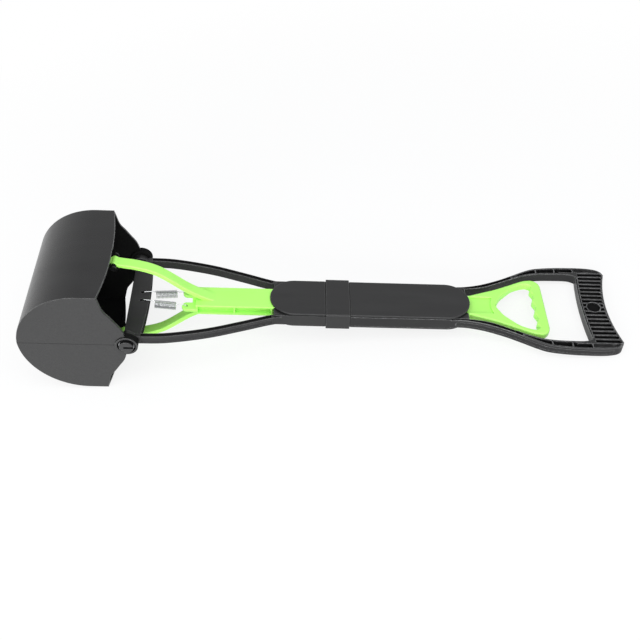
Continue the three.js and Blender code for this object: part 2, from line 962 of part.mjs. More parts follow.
function pivotCap(end) {
  const radius = hubRadius - hubRim - gap;
  const inner = pivotHeadSeat + pivotHeadHeight + gap;
  const outer = inner + capThickness;
  const disc = rod(0, 0, radius, ...between(end, inner, outer), circleSteps);
  const skirt = rod(0, 0, radius, ...between(end, inner - capSkirtHeight, inner + gap), circleSteps);
  const hollow = rod(
    0,
    0,
    radius - capSkirt,
    ...between(end, inner - capSkirtHeight - overrun, inner),
    circleSteps,
  );
  const grooveRadius = radius / 2;
  const groovePoints = [
    ...arc(0, 0, grooveRadius + capGroove, 0, Math.PI, circleSteps / 2),
    ...arc(0, 0, grooveRadius, Math.PI, 0, circleSteps / 2),
  ];
  const groove = across(groovePoints, ...between(end, outer - capGrooveDepth, outer + overrun));
  return cut(disc.add(skirt), [hollow, groove]);
}

for (const [place, end] of [
  ["near", -1],
  ["far", 1],
]) {
  add(place + "_pivot_washer", pivotWasher(end), steel);
  add(place + "_pivot_screw", pivotScrew(end), steel);
  add(place + "_pivot_cap", pivotCap(end), blackFrame);
}

// Slider: bar, trigger, two arms and two spring ears in one moulding
function sliderBar() {
  const rearX = triggerStartX + overrun;
  const flanges = [-1, 1].map((side) => {
    const [z0, z1] = between(side, barHalfHeight - barFlange, barHalfHeight);
    return box(barStartX, rearX, -barHalfWidth, barHalfWidth, z0, z1);
  });
  const web = box(barStartX, rearX, -barWeb / 2, barWeb / 2, -barHalfHeight, barHalfHeight);
  const root = box(
    barStartX,
    barStartX + rootBlockLength,
    -barHalfWidth,
    barHalfWidth,
    -barHalfHeight,
    barHalfHeight,
  );
  const ribs = [];
  for (let x = barRibStartX; x < triggerStartX; x += barRibPitch)
    ribs.push(
      box(x - barRib / 2, x + barRib / 2, -barHalfWidth, barHalfWidth, -barHalfHeight, barHalfHeight),
    );
  return join([...flanges, web, root, ...ribs]);
}

function trigger() {
  const half = smooth(
    triggerShares.map(([x, y]) => [
      triggerStartX + (triggerRearX - triggerStartX) * x,
      barHalfWidth + (triggerHalfWidth - barHalfWidth) * y,
    ]),
    splineSteps,
  );
  const block = upright(
    [...half, ...mirrored(half).reverse()],
    -triggerHalfHeight,
    triggerHalfHeight,
  );
  const holeHalf = smooth(
    fingerHoleShares.map(([x, y]) => [
      fingerHoleApexX + (fingerHoleEndX - fingerHoleApexX) * x,
      fingerHoleHalfWidth * y,
    ]),
    splineSteps,
  );
  const cornerY = fingerHoleHalfWidth * fingerHoleCornerShare;
  const holeTop = triggerHalfHeight + overrun;
  const hole = upright(
    [
      ...holeHalf,
      [fingerHoleEndX, cornerY],
      [fingerHoleEndX, -cornerY],
      ...mirrored(holeHalf).reverse(),
    ],
    -holeTop,
    holeTop,
  );
  const scallops = [];
  for (let i = 0; i < fingerScallops; i++) {
    const y = (i - (fingerScallops - 1) / 2) * fingerScallopPitch;
    const x = fingerHoleEndX + fingerScallopDepth - fingerScallopRadius;
    scallops.push(post(x, y, fingerScallopRadius, -holeTop, holeTop, circleSteps));
  }
  return cut(block, [hole, ...scallops]);
}

// Shallow recess in the neck of the trigger, above and below
function neckPocket(side) {
  const startX = neckPocketEndX - neckPocketLength;
  const end = arc(
    neckPocketEndX - neckPocketHalfWidth,
    0,
    neckPocketHalfWidth,
    -Math.PI / 2,
    Math.PI / 2,
    circleSteps / 2,
  );
  const points = [[startX, neckPocketHalfWidth], [startX, -neckPocketHalfWidth], ...end];
  const [z0, z1] = between(side, triggerHalfHeight - neckPocketDepth, barHalfHeight + overrun);
  return upright(points, z0, z1);
}

function arm(side) {
  const tipZ = linkPinZ - armTipDrop;
  const centre = smooth(
    armShares.map(([x, z]) => [linkPinX + (armRootX - linkPinX) * x, tipZ + (armRootZ - tipZ) * z]),
    splineSteps,
  );
  const strip = ribbon(centre, (share) => armThickness + (armRootThickness - armThickness) * share);
  const flip = (points) => points.map(([x, z]) => [x, side * z]);
  const eye = circle(linkPinX, linkPinZ, linkPinRadius + gap + eyeWall, circleSteps);
  const hole = circle(linkPinX, linkPinZ, linkPinRadius + gap, hardwareSteps);
  const body = join([
    across(flip(strip), -armHalfWidth, armHalfWidth),
    across(flip(eye), -armHalfWidth, armHalfWidth),
  ]);
  return cut(body, [
    across(flip(hole), -armHalfWidth - overrun, armHalfWidth + overrun),
    ...tipCorners(),
  ]);
}

// The corners of the arm's tip are rounded as seen from above
function tipCorners() {
  const tipX = linkPinX - linkPinRadius - gap - eyeWall;
  return [-1, 1].map((end) => {
    const round = arc(
      tipX + eyeCornerRadius,
      end * (armHalfWidth - eyeCornerRadius),
      eyeCornerRadius,
      Math.PI,
      Math.PI - (end * Math.PI) / 2,
      cornerSteps,
    );
    const points = [...round, [tipX - overrun, end * (armHalfWidth + overrun)]];
    return upright(points, -jawRadius, jawRadius);
  });
}

// Thin web between the roots of the two arms
function armGusset() {
  const tipZ = linkPinZ - armTipDrop;
  const frontShare = (earX + earRadius - linkPinX) / (armRootX - linkPinX);
  const frontX = linkPinX + (armRootX - linkPinX) * frontShare;
  const heightShare = readOff(armShares, frontShare);
  const frontZ = tipZ + (armRootZ - tipZ) * heightShare;
  const points = [
    [frontX, frontZ],
    [frontX, -frontZ],
    [armRootX, -armRootZ],
    [armRootX, armRootZ],
  ];
  return across(points, -barWeb / 2, barWeb / 2);
}

function springEar(end) {
  const y = end * earY;
  const [y0, y1] = between(end, earY - earRadius, earY + earRadius);
  const tab = box(earX, barStartX + overrun, y0, y1, -earHeight, earHeight);
  const round = post(earX, y, earRadius, -earHeight, earHeight, circleSteps);
  const [w0, w1] = between(end, 0, earY);
  const bridge = box(earX + earRadius, barStartX + overrun, w0, w1, -earHeight, earHeight);
  return join([tab, round, bridge]);
}

function earHole(end) {
  const top = earHeight + overrun;
  return post(earX, end * earY, springHoleRadius, -top, top, smallCircleSteps);
}

function pullSlider() {
  const bodies = [
    sliderBar(),
    trigger(),
    arm(1),
    arm(-1),
    armGusset(),
    springEar(1),
    springEar(-1),
  ];
  return cut(join(bodies), [earHole(1), earHole(-1), ...[-1, 1].map(neckPocket)]);
}

add("pull_slider", pullSlider(), limePlastic);

// Tension springs, each one unbroken wire: hook, turns, hook
function springRoute(end) {
  const from = new THREE.Vector3(springHookX, end * springHookY, 0);
  const to = new THREE.Vector3(earX, end * earY, 0);
  const axis = to.clone().sub(from).normalize();
  const side = new THREE.Vector3(0, 0, 1).cross(axis);
  const onAxis = (distance, height) =>
    from.clone().addScaledVector(axis, distance).setZ(height);
  const length = from.distanceTo(to);
  const overBar = crossbarHalfHeight + springWire / 2 + gap;
  const overEar = earHeight + springWire / 2 + gap;
  const coilEnd = springLead + springTurns * springPitch;
  const route = [
    onAxis(0, overBar - springHookDrop),
    onAxis(0, overBar - springBend),
    onAxis(springBend / 2, overBar - springBend / 4),
    onAxis(springBend * 2, overBar),
    onAxis(springLead - springBend * 2, overBar),
  ];
  for (let i = 0; i <= springTurns * springStepsPerTurn; i++) {
    const turn = i / springStepsPerTurn;
    const angle = turn * Math.PI * 2;
    route.push(
      onAxis(springLead + turn * springPitch, 0)
        .addScaledVector(side, springRadius * Math.sin(angle))
        .setZ(springRadius * Math.cos(angle)),
    );
  }
  route.push(
    onAxis(coilEnd + springBend * 2, overEar),
    onAxis(length - springBend * 2, overEar),
    onAxis(length - springBend / 2, overEar - springBend / 4),
    onAxis(length, overEar - springBend),
    onAxis(length, overEar - springHookDrop),
  );
  return route;
}

// A closed tube of one ring of points for each point of its route
function wireTube(route, radius, sides) {
  const positions = [];
  const indices = [];
  let normal = new THREE.Vector3(0, 1, 0);
  route.forEach((point, i) => {
    const before = route[Math.max(i - 1, 0)];
    const after = route[Math.min(i + 1, route.length - 1)];
    const forward = after.clone().sub(before).normalize();
    normal = normal.clone().addScaledVector(forward, -normal.dot(forward)).normalize();
    const other = forward.clone().cross(normal);
    for (let j = 0; j < sides; j++) {
      const angle = (j / sides) * Math.PI * 2;
      const corner = point
        .clone()
        .addScaledVector(normal, radius * Math.cos(angle))
        .addScaledVector(other, radius * Math.sin(angle));
      positions.push(corner.x, corner.y, corner.z);
    }
  });
  for (let i = 0; i < route.length - 1; i++)
    for (let j = 0; j < sides; j++) {
      const a = i * sides + j;
      const b = i * sides + ((j + 1) % sides);
      indices.push(a, b, a + sides, b, b + sides, a + sides);
    }
  const last = (route.length - 1) * sides;
  for (let j = 1; j < sides - 1; j++) {
    indices.push(0, j + 1, j);
    indices.push(last, last + j, last + j + 1);
  }
  const geometry = new THREE.BufferGeometry();
  geometry.setAttribute("position", new THREE.Float32BufferAttribute(positions, 3));
  geometry.setIndex(indices);
  return geometry;
}

// Least distance between stretches of a route that lie at least half a turn apart
function leastGap(route, diameter, apart) {
  let least = Infinity;
  for (let i = 0; i < route.length; i++)
    for (let j = i + apart; j < route.length; j++)
      least = Math.min(least, route[i].distanceTo(route[j]) - diameter);
  return least;
}

for (const [place, end] of [
  ["near", -1],
  ["far", 1],
]) {
  const route = springRoute(end);
  const least = leastGap(route, springWire, springStepsPerTurn / 2);
  console.log(place + "_spring: least gap to itself " + least.toFixed(2) + " mm");
  add(place + "_spring", solid(wireTube(route, springWire / 2, springSides)), steel);
}

// Laid on the floor: the lower lip's middle and the grip's end touch it
const lipMiddleX = lipCornerX + lipBow - lipNotchDepth;
const restTilt = Math.atan2(jawTop - gripHalfHeight, gripReach - lipMiddleX);
tool.rotation.y = restTilt;

const part = new THREE.Group();
part.add(tool);
part.updateMatrixWorld(true);
const bounds = new THREE.Box3().setFromObject(part, true);
const middle = bounds.getCenter(new THREE.Vector3());
tool.position.set(-middle.x, -middle.y, -bounds.min.z);

// Motion that these sizes give
const swingStart = Math.atan2(linkPinX, linkPinZ);
const swingEnd = Math.atan2(linkPinX + pullTravel, linkPinZ);
const swing = THREE.MathUtils.radToDeg(swingEnd - swingStart);
console.log("jaw swing " + swing.toFixed(2) + " degrees for " + pullTravel + " mm of pull");
console.log("tilt " + THREE.MathUtils.radToDeg(restTilt).toFixed(3) + " degrees");
console.log("hinge axis at " + tool.position.toArray().map((v) => v.toFixed(3)).join(", "));

export default part;
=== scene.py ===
import json
import math

import bmesh
import bpy
from mathutils import Matrix, Vector, kdtree


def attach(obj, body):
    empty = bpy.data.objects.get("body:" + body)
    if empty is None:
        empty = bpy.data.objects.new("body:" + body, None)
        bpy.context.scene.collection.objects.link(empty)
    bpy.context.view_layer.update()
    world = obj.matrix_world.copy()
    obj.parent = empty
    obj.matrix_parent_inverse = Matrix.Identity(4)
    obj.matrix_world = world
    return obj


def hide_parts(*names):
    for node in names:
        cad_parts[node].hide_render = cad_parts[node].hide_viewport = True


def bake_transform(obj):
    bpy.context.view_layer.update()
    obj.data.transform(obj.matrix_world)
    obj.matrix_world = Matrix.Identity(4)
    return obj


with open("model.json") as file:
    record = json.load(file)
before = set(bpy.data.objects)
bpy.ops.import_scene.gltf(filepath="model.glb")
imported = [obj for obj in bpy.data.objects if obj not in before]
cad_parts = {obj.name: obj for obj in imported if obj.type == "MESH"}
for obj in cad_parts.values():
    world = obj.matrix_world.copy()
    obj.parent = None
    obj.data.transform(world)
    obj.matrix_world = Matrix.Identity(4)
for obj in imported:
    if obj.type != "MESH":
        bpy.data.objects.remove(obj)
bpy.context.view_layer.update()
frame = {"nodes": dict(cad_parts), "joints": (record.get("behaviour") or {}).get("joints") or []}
joints = {joint["name"]: joint for joint in frame["joints"]}

mm = 0.001
gap = 0.3  # between pieces that rest on each other, as in the frame
past = 2  # how far a cutting tool passes the face it cuts
close = 0.01  # how far a spot may be from the face that it belongs to
edgeRound = 0.3  # of holes and inner edges
quarter = math.pi / 2
smoothAngle = math.radians(38)

# The tool is modelled in millimetres round its hinge axis, X along the handle,
# then laid down at the frame's tilt
slideAxis = joints["pull_slide"]["axis"]
tilt = math.atan2(-slideAxis[2], slideAxis[0])
hinge = joints["upper_jaw_hinge"]["pos_m"]


# outlines in two directions a and b

def evenly(first, last, steps):
    return [first + (last - first) * i / steps for i in range(steps + 1)]


def arc(a, b, radius, start, end, steps):
    return [(a + radius * math.cos(turn), b + radius * math.sin(turn)) for turn in evenly(start, end, steps)]


def ring(a, b, radius, steps):
    return arc(a, b, radius, 0, 2 * math.pi, steps)[1:]


def rectangle(a0, a1, b0, b1):
    return [(a0, b0), (a1, b0), (a1, b1), (a0, b1)]


def flipped(points):
    return [(a, -b) for a, b in points]


def facing(points, end):  # an outline drawn for the far side, flipped for the near side
    return points if end > 0 else flipped(points)


def spline(points, steps):
    result = []
    last = len(points) - 1
    for i in range(steps + 1):
        place = last * i / steps
        k = min(int(place), last)
        t = place - k
        p0, p1 = points[max(k - 1, 0)], points[k]
        p2, p3 = points[min(k + 1, last)], points[min(k + 2, last)]
        spot = []
        for c in (0, 1):
            v0, v1 = (p2[c] - p0[c]) / 2, (p3[c] - p1[c]) / 2
            spot.append(
                (2 * p1[c] - 2 * p2[c] + v0 + v1) * t ** 3
                + (-3 * p1[c] + 3 * p2[c] - 2 * v0 - v1) * t ** 2
                + v0 * t + p1[c]
            )
        result.append(tuple(spot))
    return result


def beside(points, distanceAt):
    result = []
    for i, (a, b) in enumerate(points):
        a0, b0 = points[max(i - 1, 0)]
        a1, b1 = points[min(i + 1, len(points) - 1)]
        length = math.hypot(a1 - a0, b1 - b0)
        distance = distanceAt(i / (len(points) - 1))
        result.append((a - (b1 - b0) / length * distance, b + (a1 - a0) / length * distance))
    return result


def grown(points, distance):  # a closed outline moved outwards by a distance, inwards where it is negative
    area = sum(
        points[i - 1][0] * points[i][1] - points[i][0] * points[i - 1][1]
        for i in range(len(points))
    )
    turn = 1 if area > 0 else -1
    result = []
    for i, (a, b) in enumerate(points):
        a0, b0 = points[i - 1]
        a1, b1 = points[(i + 1) % len(points)]
        before = Vector((b - b0, a0 - a)).normalized()
        after = Vector((b1 - b, a - a1)).normalized()
        middle = (before + after).normalized()
        reach = distance * turn / max(0.4, middle.dot(before))
        result.append((a + middle.x * reach, b + middle.y * reach))
    return result


def rounded(points, radius, steps=5, sharp=22):  # rounds the corners of a closed outline
    result = []
    for i, here in enumerate(points):
        corner = Vector(here)
        back = Vector(points[i - 1]) - corner
        on = Vector(points[(i + 1) % len(points)]) - corner
        bend = math.pi - back.angle(on)
        if bend < math.radians(sharp):
            result.append(here)
            continue
        cut = min(radius * math.tan(bend / 2), back.length * 0.48, on.length * 0.48)
        start, end = corner + back.normalized() * cut, corner + on.normalized() * cut
        for j in range(steps + 1):
            t = j / steps
            spot = start * (1 - t) ** 2 + corner * 2 * t * (1 - t) + end * t ** 2
            result.append((spot.x, spot.y))
    return result


def readOff(points, a):  # height of a line at one place
    for (a0, b0), (a1, b1) in zip(points, points[1:]):
        if a0 <= a <= a1:
            return b0 + (b1 - b0) * (a - a0) / (a1 - a0)
    return points[-1][1]


# modelling steps

lays = {
    "up": (lambda a, b, h: (a, b, h)),  # outline in X and Y, drawn along Z
    "across": (lambda a, b, h: (a, h, b)),  # outline in X and Z, drawn along Y
    "along": (lambda a, b, h: (h, a, b)),  # outline in Y and Z, drawn along X
}


def deselect():
    bpy.ops.object.select_all(action="DESELECT")


def pick(*pieces):
    if bpy.context.mode != "OBJECT":
        bpy.ops.object.mode_set(mode="OBJECT")
    deselect()
    for piece in pieces:
        piece.select_set(True)
    bpy.context.view_layer.objects.active = pieces[0]


def flat(spots, fill="NGON"):  # a circle's corners moved to these spots
    deselect()
    bpy.ops.mesh.primitive_circle_add(vertices=len(spots), radius=1, fill_type=fill)
    piece = bpy.context.object
    for corner, spot in zip(piece.data.vertices, spots):
        corner.co = spot
    return piece


def editAll():
    bpy.ops.object.mode_set(mode="EDIT")
    bpy.ops.mesh.select_all(action="SELECT")


def outwards(piece):
    pick(piece)
    editAll()
    bpy.ops.mesh.normals_make_consistent(inside=False)
    bpy.ops.object.mode_set(mode="OBJECT")
    return piece


def slab(points, low, high, lay="up"):
    piece = flat([lays[lay](a, b, low) for a, b in points])
    editAll()
    bpy.ops.mesh.extrude_region_move(TRANSFORM_OT_translate={"value": lays[lay](0, 0, high - low)})
    return outwards(piece)


def overturned(tool):  # the tool that cuts the upper side, turned over for the lower one
    for corner in tool.data.vertices:
        corner.co.z = -corner.co.z
    return outwards(tool)


def stacked(levels, lay="up"):  # an outline drawn through several heights, its size changing on the way
    points, height = levels[0]
    piece = flat([lays[lay](a, b, height) for a, b in points])
    for nextPoints, nextHeight in levels[1:]:
        bpy.ops.object.mode_set(mode="EDIT")
        bpy.ops.mesh.extrude_region_move(TRANSFORM_OT_translate={"value": (0, 0, 0)})
        bpy.ops.object.mode_set(mode="OBJECT")
        moved = [corner for corner in piece.data.vertices if corner.select]
        homes = kdtree.KDTree(len(points))
        for i, (a, b) in enumerate(points):
            homes.insert(lays[lay](a, b, height), i)
        homes.balance()
        for corner in moved:
            _, i, _ = homes.find(corner.co)
            corner.co = lays[lay](*nextPoints[i], nextHeight)
        points, height = nextPoints, nextHeight
    return outwards(piece)


# a tool that cuts a hole whose rims come out rounded, or a pocket where it has no low flare
def through(points, low, high, flare, lay="up", lowFlare=True, steps=3):
    levels = []
    if lowFlare:
        levels.append((grown(points, flare), low - past))
        for turn in evenly(0, quarter, steps):
            levels.append((grown(points, flare * (1 - math.sin(turn))),
                           low + flare * (1 - math.cos(turn))))
    else:
        levels.append((points, low))
    for turn in evenly(0, quarter, steps):
        levels.append((grown(points, flare * (1 - math.cos(turn))),
                       high - flare * (1 - math.sin(turn))))
    levels.append((grown(points, flare), high + past))
    return stacked(levels, lay)


def pocket(points, low, high, flare, side=1, steps=2):
    tool = through(points, low, high, flare, lowFlare=False, steps=steps)
    return tool if side > 0 else overturned(tool)


def turned(profile, a, b, axis="across", steps=48):  # a profile of radius and height spun round an axis
    centre, direction = lays[axis](a, b, 0), lays[axis](0, 0, 1)
    piece = flat([lays[axis](a + radius, b, height) for radius, height in profile], "NOTHING")
    editAll()
    bpy.ops.mesh.spin(steps=steps, angle=2 * math.pi, center=centre, axis=direction)
    bpy.ops.mesh.select_all(action="SELECT")
    bpy.ops.mesh.remove_doubles(threshold=0.0005)
    bpy.ops.mesh.dissolve_degenerate(threshold=0.0005)
    bpy.ops.mesh.select_all(action="SELECT")
    bpy.ops.mesh.delete_loose(use_verts=True, use_edges=True, use_faces=False)
    return outwards(piece)


def disc(radius, low, high, a=0, b=0, axis="across", lowRound=0, highRound=0, steps=48):
    profile = [(0, low)]
    for height, turn, size in ((low, 1, lowRound), (high, -1, highRound)):
        corner = [(radius, height)]
        if size:
            corner = [(radius - size * (1 - math.sin(bend)), height + turn * size * (1 - math.cos(bend)))
                      for bend in evenly(0, quarter, 3)]
        profile += corner if turn > 0 else corner[::-1]
    profile.append((0, high))
    return turned(profile, a, b, axis, steps)


def sided(end, inner, outer):
    return (inner, outer) if end > 0 else (-outer, -inner)


def endDisc(end, radius, inner, outer, a=0, b=0, innerRound=0, outerRound=0, steps=48):
    low, high = sided(end, inner, outer)
    rounds = (innerRound, outerRound) if end > 0 else (outerRound, innerRound)
    return disc(radius, low, high, a, b, "across", *rounds, steps)


def atHeight(height, also=None):  # picks what lies at this height over and under the middle
    return lambda spot: abs(abs(spot.z) - height) < close and (also is None or also(spot))


def soften(piece, width, segments=3, where=None, sharp=36):  # bevels the sharp edges, or those at a place
    pick(piece)
    bpy.ops.object.mode_set(mode="EDIT")
    bpy.ops.mesh.select_mode(type="EDGE")
    bpy.ops.mesh.select_all(action="DESELECT")
    mesh = bmesh.from_edit_mesh(piece.data)
    found = 0
    for edge in mesh.edges:
        if len(edge.link_faces) != 2 or edge.calc_face_angle(0) < math.radians(sharp):
            continue
        spot = (edge.verts[0].co + edge.verts[1].co) / 2
        if where is None or where(spot):
            edge.select = True
            found += 1
    bmesh.update_edit_mesh(piece.data)
    if found:
        bpy.ops.mesh.bevel(offset=width, segments=segments, profile=0.5, affect="EDGES",
                           clamp_overlap=False)
    bpy.ops.mesh.select_all(action="SELECT")
    bpy.ops.mesh.remove_doubles(threshold=0.002)
    bpy.ops.mesh.dissolve_degenerate(threshold=0.002)
    bpy.ops.mesh.select_mode(type="VERT")
    bpy.ops.object.mode_set(mode="OBJECT")
    return piece


def combine(piece, operation, tools):
    for tool in tools:
        step = piece.modifiers.new("shape", "BOOLEAN")
        step.operation = operation
        step.solver = "MANIFOLD"
        step.object = tool
        pick(piece)
        bpy.ops.object.modifier_apply(modifier=step.name)
        bpy.data.objects.remove(tool)
    return piece


def weld(piece, *tools):
    return combine(piece, "UNION", tools)


def carve(piece, *tools):
    return combine(piece, "DIFFERENCE", tools)


def gathered(tools):  # tools that don't touch each other, as one
    pick(*tools)
    if len(tools) > 1:
        bpy.ops.object.join()
    return bpy.context.object


def layDown(piece):  # from millimetres round the hinge to its place in the frame
    pick(piece)
    editAll()
    bpy.ops.mesh.remove_doubles(threshold=0.001)
    bpy.ops.mesh.dissolve_degenerate(threshold=0.001)
    bpy.ops.object.mode_set(mode="OBJECT")
    piece.scale = (mm, mm, mm)
    piece.rotation_euler = (0, tilt, 0)
    piece.location = hinge
    bpy.ops.object.transform_apply(location=True, rotation=True, scale=True)


def finish(piece, name, body, material, nodes, marked=None):
    layDown(piece)
    bpy.ops.object.shade_smooth_by_angle(angle=smoothAngle)
    even = piece.modifiers.new("evenNormals", "WEIGHTED_NORMAL")
    even.mode = "FACE_AREA_WITH_ANGLE"
    even.weight = 80
    even.keep_sharp = True
    bpy.ops.object.modifier_apply(modifier=even.name)
    piece.name = name
    piece.data.name = name
    marks = [face.material_index for face in piece.data.polygons]
    piece.data.materials.clear()
    piece.data.materials.append(material)
    if marked:  # the faces marked beforehand get a second material
        piece.data.materials.append(marked)
        piece.data.polygons.foreach_set("material_index", marks)
    if body:
        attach(piece, body)
    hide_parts(*nodes)
    print(name, "has", len(piece.data.polygons), "faces")
    return piece


# materials

def newGroup(name, inputs, outputs):
    group = bpy.data.node_groups.new(name, "ShaderNodeTree")
    for socketName, kind, value in inputs:
        socket = group.interface.new_socket(name=socketName, in_out="INPUT", socket_type=kind)
        socket.default_value = value
    for socketName, kind in outputs:
        group.interface.new_socket(name=socketName, in_out="OUTPUT", socket_type=kind)
    return group, group.nodes.new("NodeGroupInput"), group.nodes.new("NodeGroupOutput")


def nodeAdder(tree):
    def add(kind, settings=None, **values):
        node = tree.nodes.new("ShaderNode" + kind)
        for key, value in (settings or {}).items():
            setattr(node, key, value)
        for key, value in values.items():
            socket = node.inputs[int(key[1:])] if key[0] == "i" and key[1:].isdigit() else node.inputs[key]
            if isinstance(value, bpy.types.NodeSocket):
                tree.links.new(value, socket)
            else:
                socket.default_value = value
        return node
    return add


def giveOut(group, outside, **sockets):
    for name, socket in sockets.items():
        group.links.new(socket, outside.inputs[name])
    return group


def buildWearHighlightShade():  # lighter along convex edges, partly handling wear and partly a painted highlight, broken up by noise, and a mask of painted shade in deep hollows
    group, inside, outside = newGroup(
        "wearHighlightShadeGroup",
        [("Width", "NodeSocketFloat", 0.0018), ("Breakup", "NodeSocketFloat", 260.0)],
        [("Mask", "NodeSocketFloat"), ("Hollow", "NodeSocketFloat")],
    )
    add = nodeAdder(group)
    place = add("TexCoord").outputs["Object"]
    soft = add("Bevel", {"samples": 4}, Radius=inside.outputs["Width"])
    true = add("NewGeometry")
    cosine = add("VectorMath", {"operation": "DOT_PRODUCT"}, i0=soft.outputs[0],
                 i1=true.outputs["Normal"])
    # convex edges, to be lightened as handling wear and as a painted highlight
    bent = add("MapRange", i0=cosine.outputs["Value"], i1=0.993, i2=0.91, i3=0.0, i4=1.0)
    around = add("AmbientOcclusion", {"samples": 4}, Distance=0.005)
    open_ = add("MapRange", i0=around.outputs["AO"], i1=0.62, i2=0.9, i3=0.0, i4=1.0)
    # painted shade: darker where ambient occlusion finds a deep hollow
    hollow = add("MapRange", i0=around.outputs["AO"], i1=0.05, i2=0.75, i3=1.0, i4=0.0)
    edge = add("Math", {"operation": "MULTIPLY"}, i0=bent.outputs[0], i1=open_.outputs[0])
    noise = add("TexNoise", Vector=place, Scale=inside.outputs["Breakup"], Detail=3.0, Roughness=0.6)
    patchy = add("MapRange", i0=noise.outputs[0], i1=0.3, i2=0.68, i3=0.25, i4=1.0)
    mask = add("Math", {"operation": "MULTIPLY", "use_clamp": True}, i0=edge.outputs[0], i1=patchy.outputs[0])
    return giveOut(group, outside, Mask=mask.outputs[0], Hollow=hollow.outputs[0])


def buildMouldGrain():  # fine spark-eroded grain and the slow waviness of moulded walls
    group, inside, outside = newGroup(
        "mouldGrain",
        [
            ("Grain Size", "NodeSocketFloat", 1500.0),
            ("Grain Depth", "NodeSocketFloat", 0.05),
            ("Wave Size", "NodeSocketFloat", 26.0),
            ("Wave Depth", "NodeSocketFloat", 0.05),
        ],
        [("Normal", "NodeSocketVector"), ("Grain", "NodeSocketFloat"), ("Wave", "NodeSocketFloat")],
    )
    add = nodeAdder(group)
    place = add("TexCoord").outputs["Object"]
    grain = add("TexNoise", Vector=place, Scale=inside.outputs["Grain Size"], Detail=2.0, Roughness=0.55)
    wave = add("TexNoise", Vector=place, Scale=inside.outputs["Wave Size"], Detail=2.0, Roughness=0.4)
    slow = add("Bump", Strength=inside.outputs["Wave Depth"], Distance=0.004, Height=wave.outputs[0])
    fine = add("Bump", Strength=inside.outputs["Grain Depth"], Distance=0.0004, Height=grain.outputs[0],
               Normal=slow.outputs[0])
    return giveOut(group, outside, Normal=fine.outputs[0], Grain=grain.outputs[0], Wave=wave.outputs[0])


def buildFlowMarks():  # faint streaks left where the melt ran along the mould, and rubbed places
    group, inside, outside = newGroup(
        "flowMarks",
        [("Length", "NodeSocketVector", (9.0, 70.0, 40.0)), ("Rub Size", "NodeSocketFloat", 60.0)],
        [("Streak", "NodeSocketFloat"), ("Rub", "NodeSocketFloat")],
    )
    add = nodeAdder(group)
    place = add("TexCoord").outputs["Object"]
    drawn = add("VectorMath", {"operation": "MULTIPLY"}, i0=place, i1=inside.outputs["Length"])
    streak = add("TexNoise", Vector=drawn.outputs[0], Scale=1.0, Detail=4.0, Roughness=0.5)
    rub = add("TexNoise", Vector=place, Scale=inside.outputs["Rub Size"], Detail=5.0, Roughness=0.62)
    streakMask = add("MapRange", i0=streak.outputs[0], i1=0.35, i2=0.68, i3=0.0, i4=1.0)
    rubMask = add("MapRange", i0=rub.outputs[0], i1=0.5, i2=0.72, i3=0.0, i4=1.0)
    return giveOut(group, outside, Streak=streakMask.outputs[0], Rub=rubMask.outputs[0])


wearHighlightShadeGroup = buildWearHighlightShade()
mouldGrain = buildMouldGrain()
flowMarks = buildFlowMarks()


def newMaterial(name):
    material = bpy.data.materials.new(name)
    material.use_nodes = True
    tree = material.node_tree
    return material, tree, tree.nodes["Principled BSDF"], nodeAdder(tree)


def surface(add, look):  # the two effects that plastic and metal share
    grain = add("Group", {"node_tree": mouldGrain}, **{
        "Grain Size": look["grainSize"], "Grain Depth": look["grainDepth"],
        "Wave Size": look["waveSize"], "Wave Depth": look["waveDepth"],
    })
    wearHighlightShade = add("Group", {"node_tree": wearHighlightShadeGroup}, **{
        "Width": look["wearAndHighlightWidth"], "Breakup": look["wearAndHighlightBreakup"],
    })
    return grain, wearHighlightShade


def times(add, mask, share):
    return add("Math", {"operation": "MULTIPLY"}, i0=mask, i1=share).outputs[0]


def colourMix(add, share, first, second):  # this share of the second colour over the first
    if not isinstance(first, bpy.types.NodeSocket):
        first = (*first, 1)
    return add("Mix", {"data_type": "RGBA"}, i0=share, i6=first, i7=(*second, 1)).outputs[2]


def plastic(name, look):
    material, tree, shader, add = newMaterial(name)
    grain, wearHighlightShade = surface(add, look)
    marks = add("Group", {"node_tree": flowMarks}, **{
        "Length": look["streakLength"], "Rub Size": look["rubSize"],
    })
    streaks = times(add, marks.outputs["Streak"], look["streakShare"])
    colour = colourMix(add, streaks, look["colour"], look["streakColour"])
    # lighter along edges: handling wear, and a painted highlight
    edges = times(add, wearHighlightShade.outputs["Mask"], look["wearAndHighlightShare"])
    colour = colourMix(add, edges, colour, look["wearAndHighlightColour"])
    spot = add("TexCoord")  # the faces that look away from the tool's middle plane, painted lighter as the lamps light them; on the jaw's end plates partly a matter finish as well
    place = add("SeparateXYZ", Vector=spot.outputs["Object"])
    flank = add("Math", {"operation": "SIGN"}, i0=place.outputs["Y"])
    facingOut = add("SeparateXYZ", Vector=spot.outputs["Normal"])
    sideways = times(add, flank.outputs[0], facingOut.outputs["Y"])
    ends = add("MapRange", i0=sideways, i1=0.93, i2=0.99, i3=0.0, i4=look["endFinishAndPaintedLightShare"])
    colour = colourMix(add, ends.outputs[0], colour, look["endFinishAndPaintedLightColour"])
    # painted shade: darker in deep hollows
    paintedHollowShade = times(add, wearHighlightShade.outputs["Hollow"], look["paintedHollowShadeShare"])
    colour = colourMix(add, paintedHollowShade, colour, look["paintedHollowShadeColour"])
    tree.links.new(colour, shader.inputs["Base Color"])
    rubbed = add("MapRange", i0=marks.outputs["Rub"], i1=0.0, i2=1.0,
                 i3=look["roughness"], i4=look["roughness"] + look["rubRoughness"])
    grained = add("Math", {"operation": "MULTIPLY_ADD"}, i0=grain.outputs["Grain"],
                  i1=look["grainRoughness"], i2=rubbed.outputs[0])
    tree.links.new(grained.outputs[0], shader.inputs["Roughness"])
    tree.links.new(grain.outputs["Normal"], shader.inputs["Normal"])
    shader.inputs["IOR"].default_value = look["ior"]
    return material
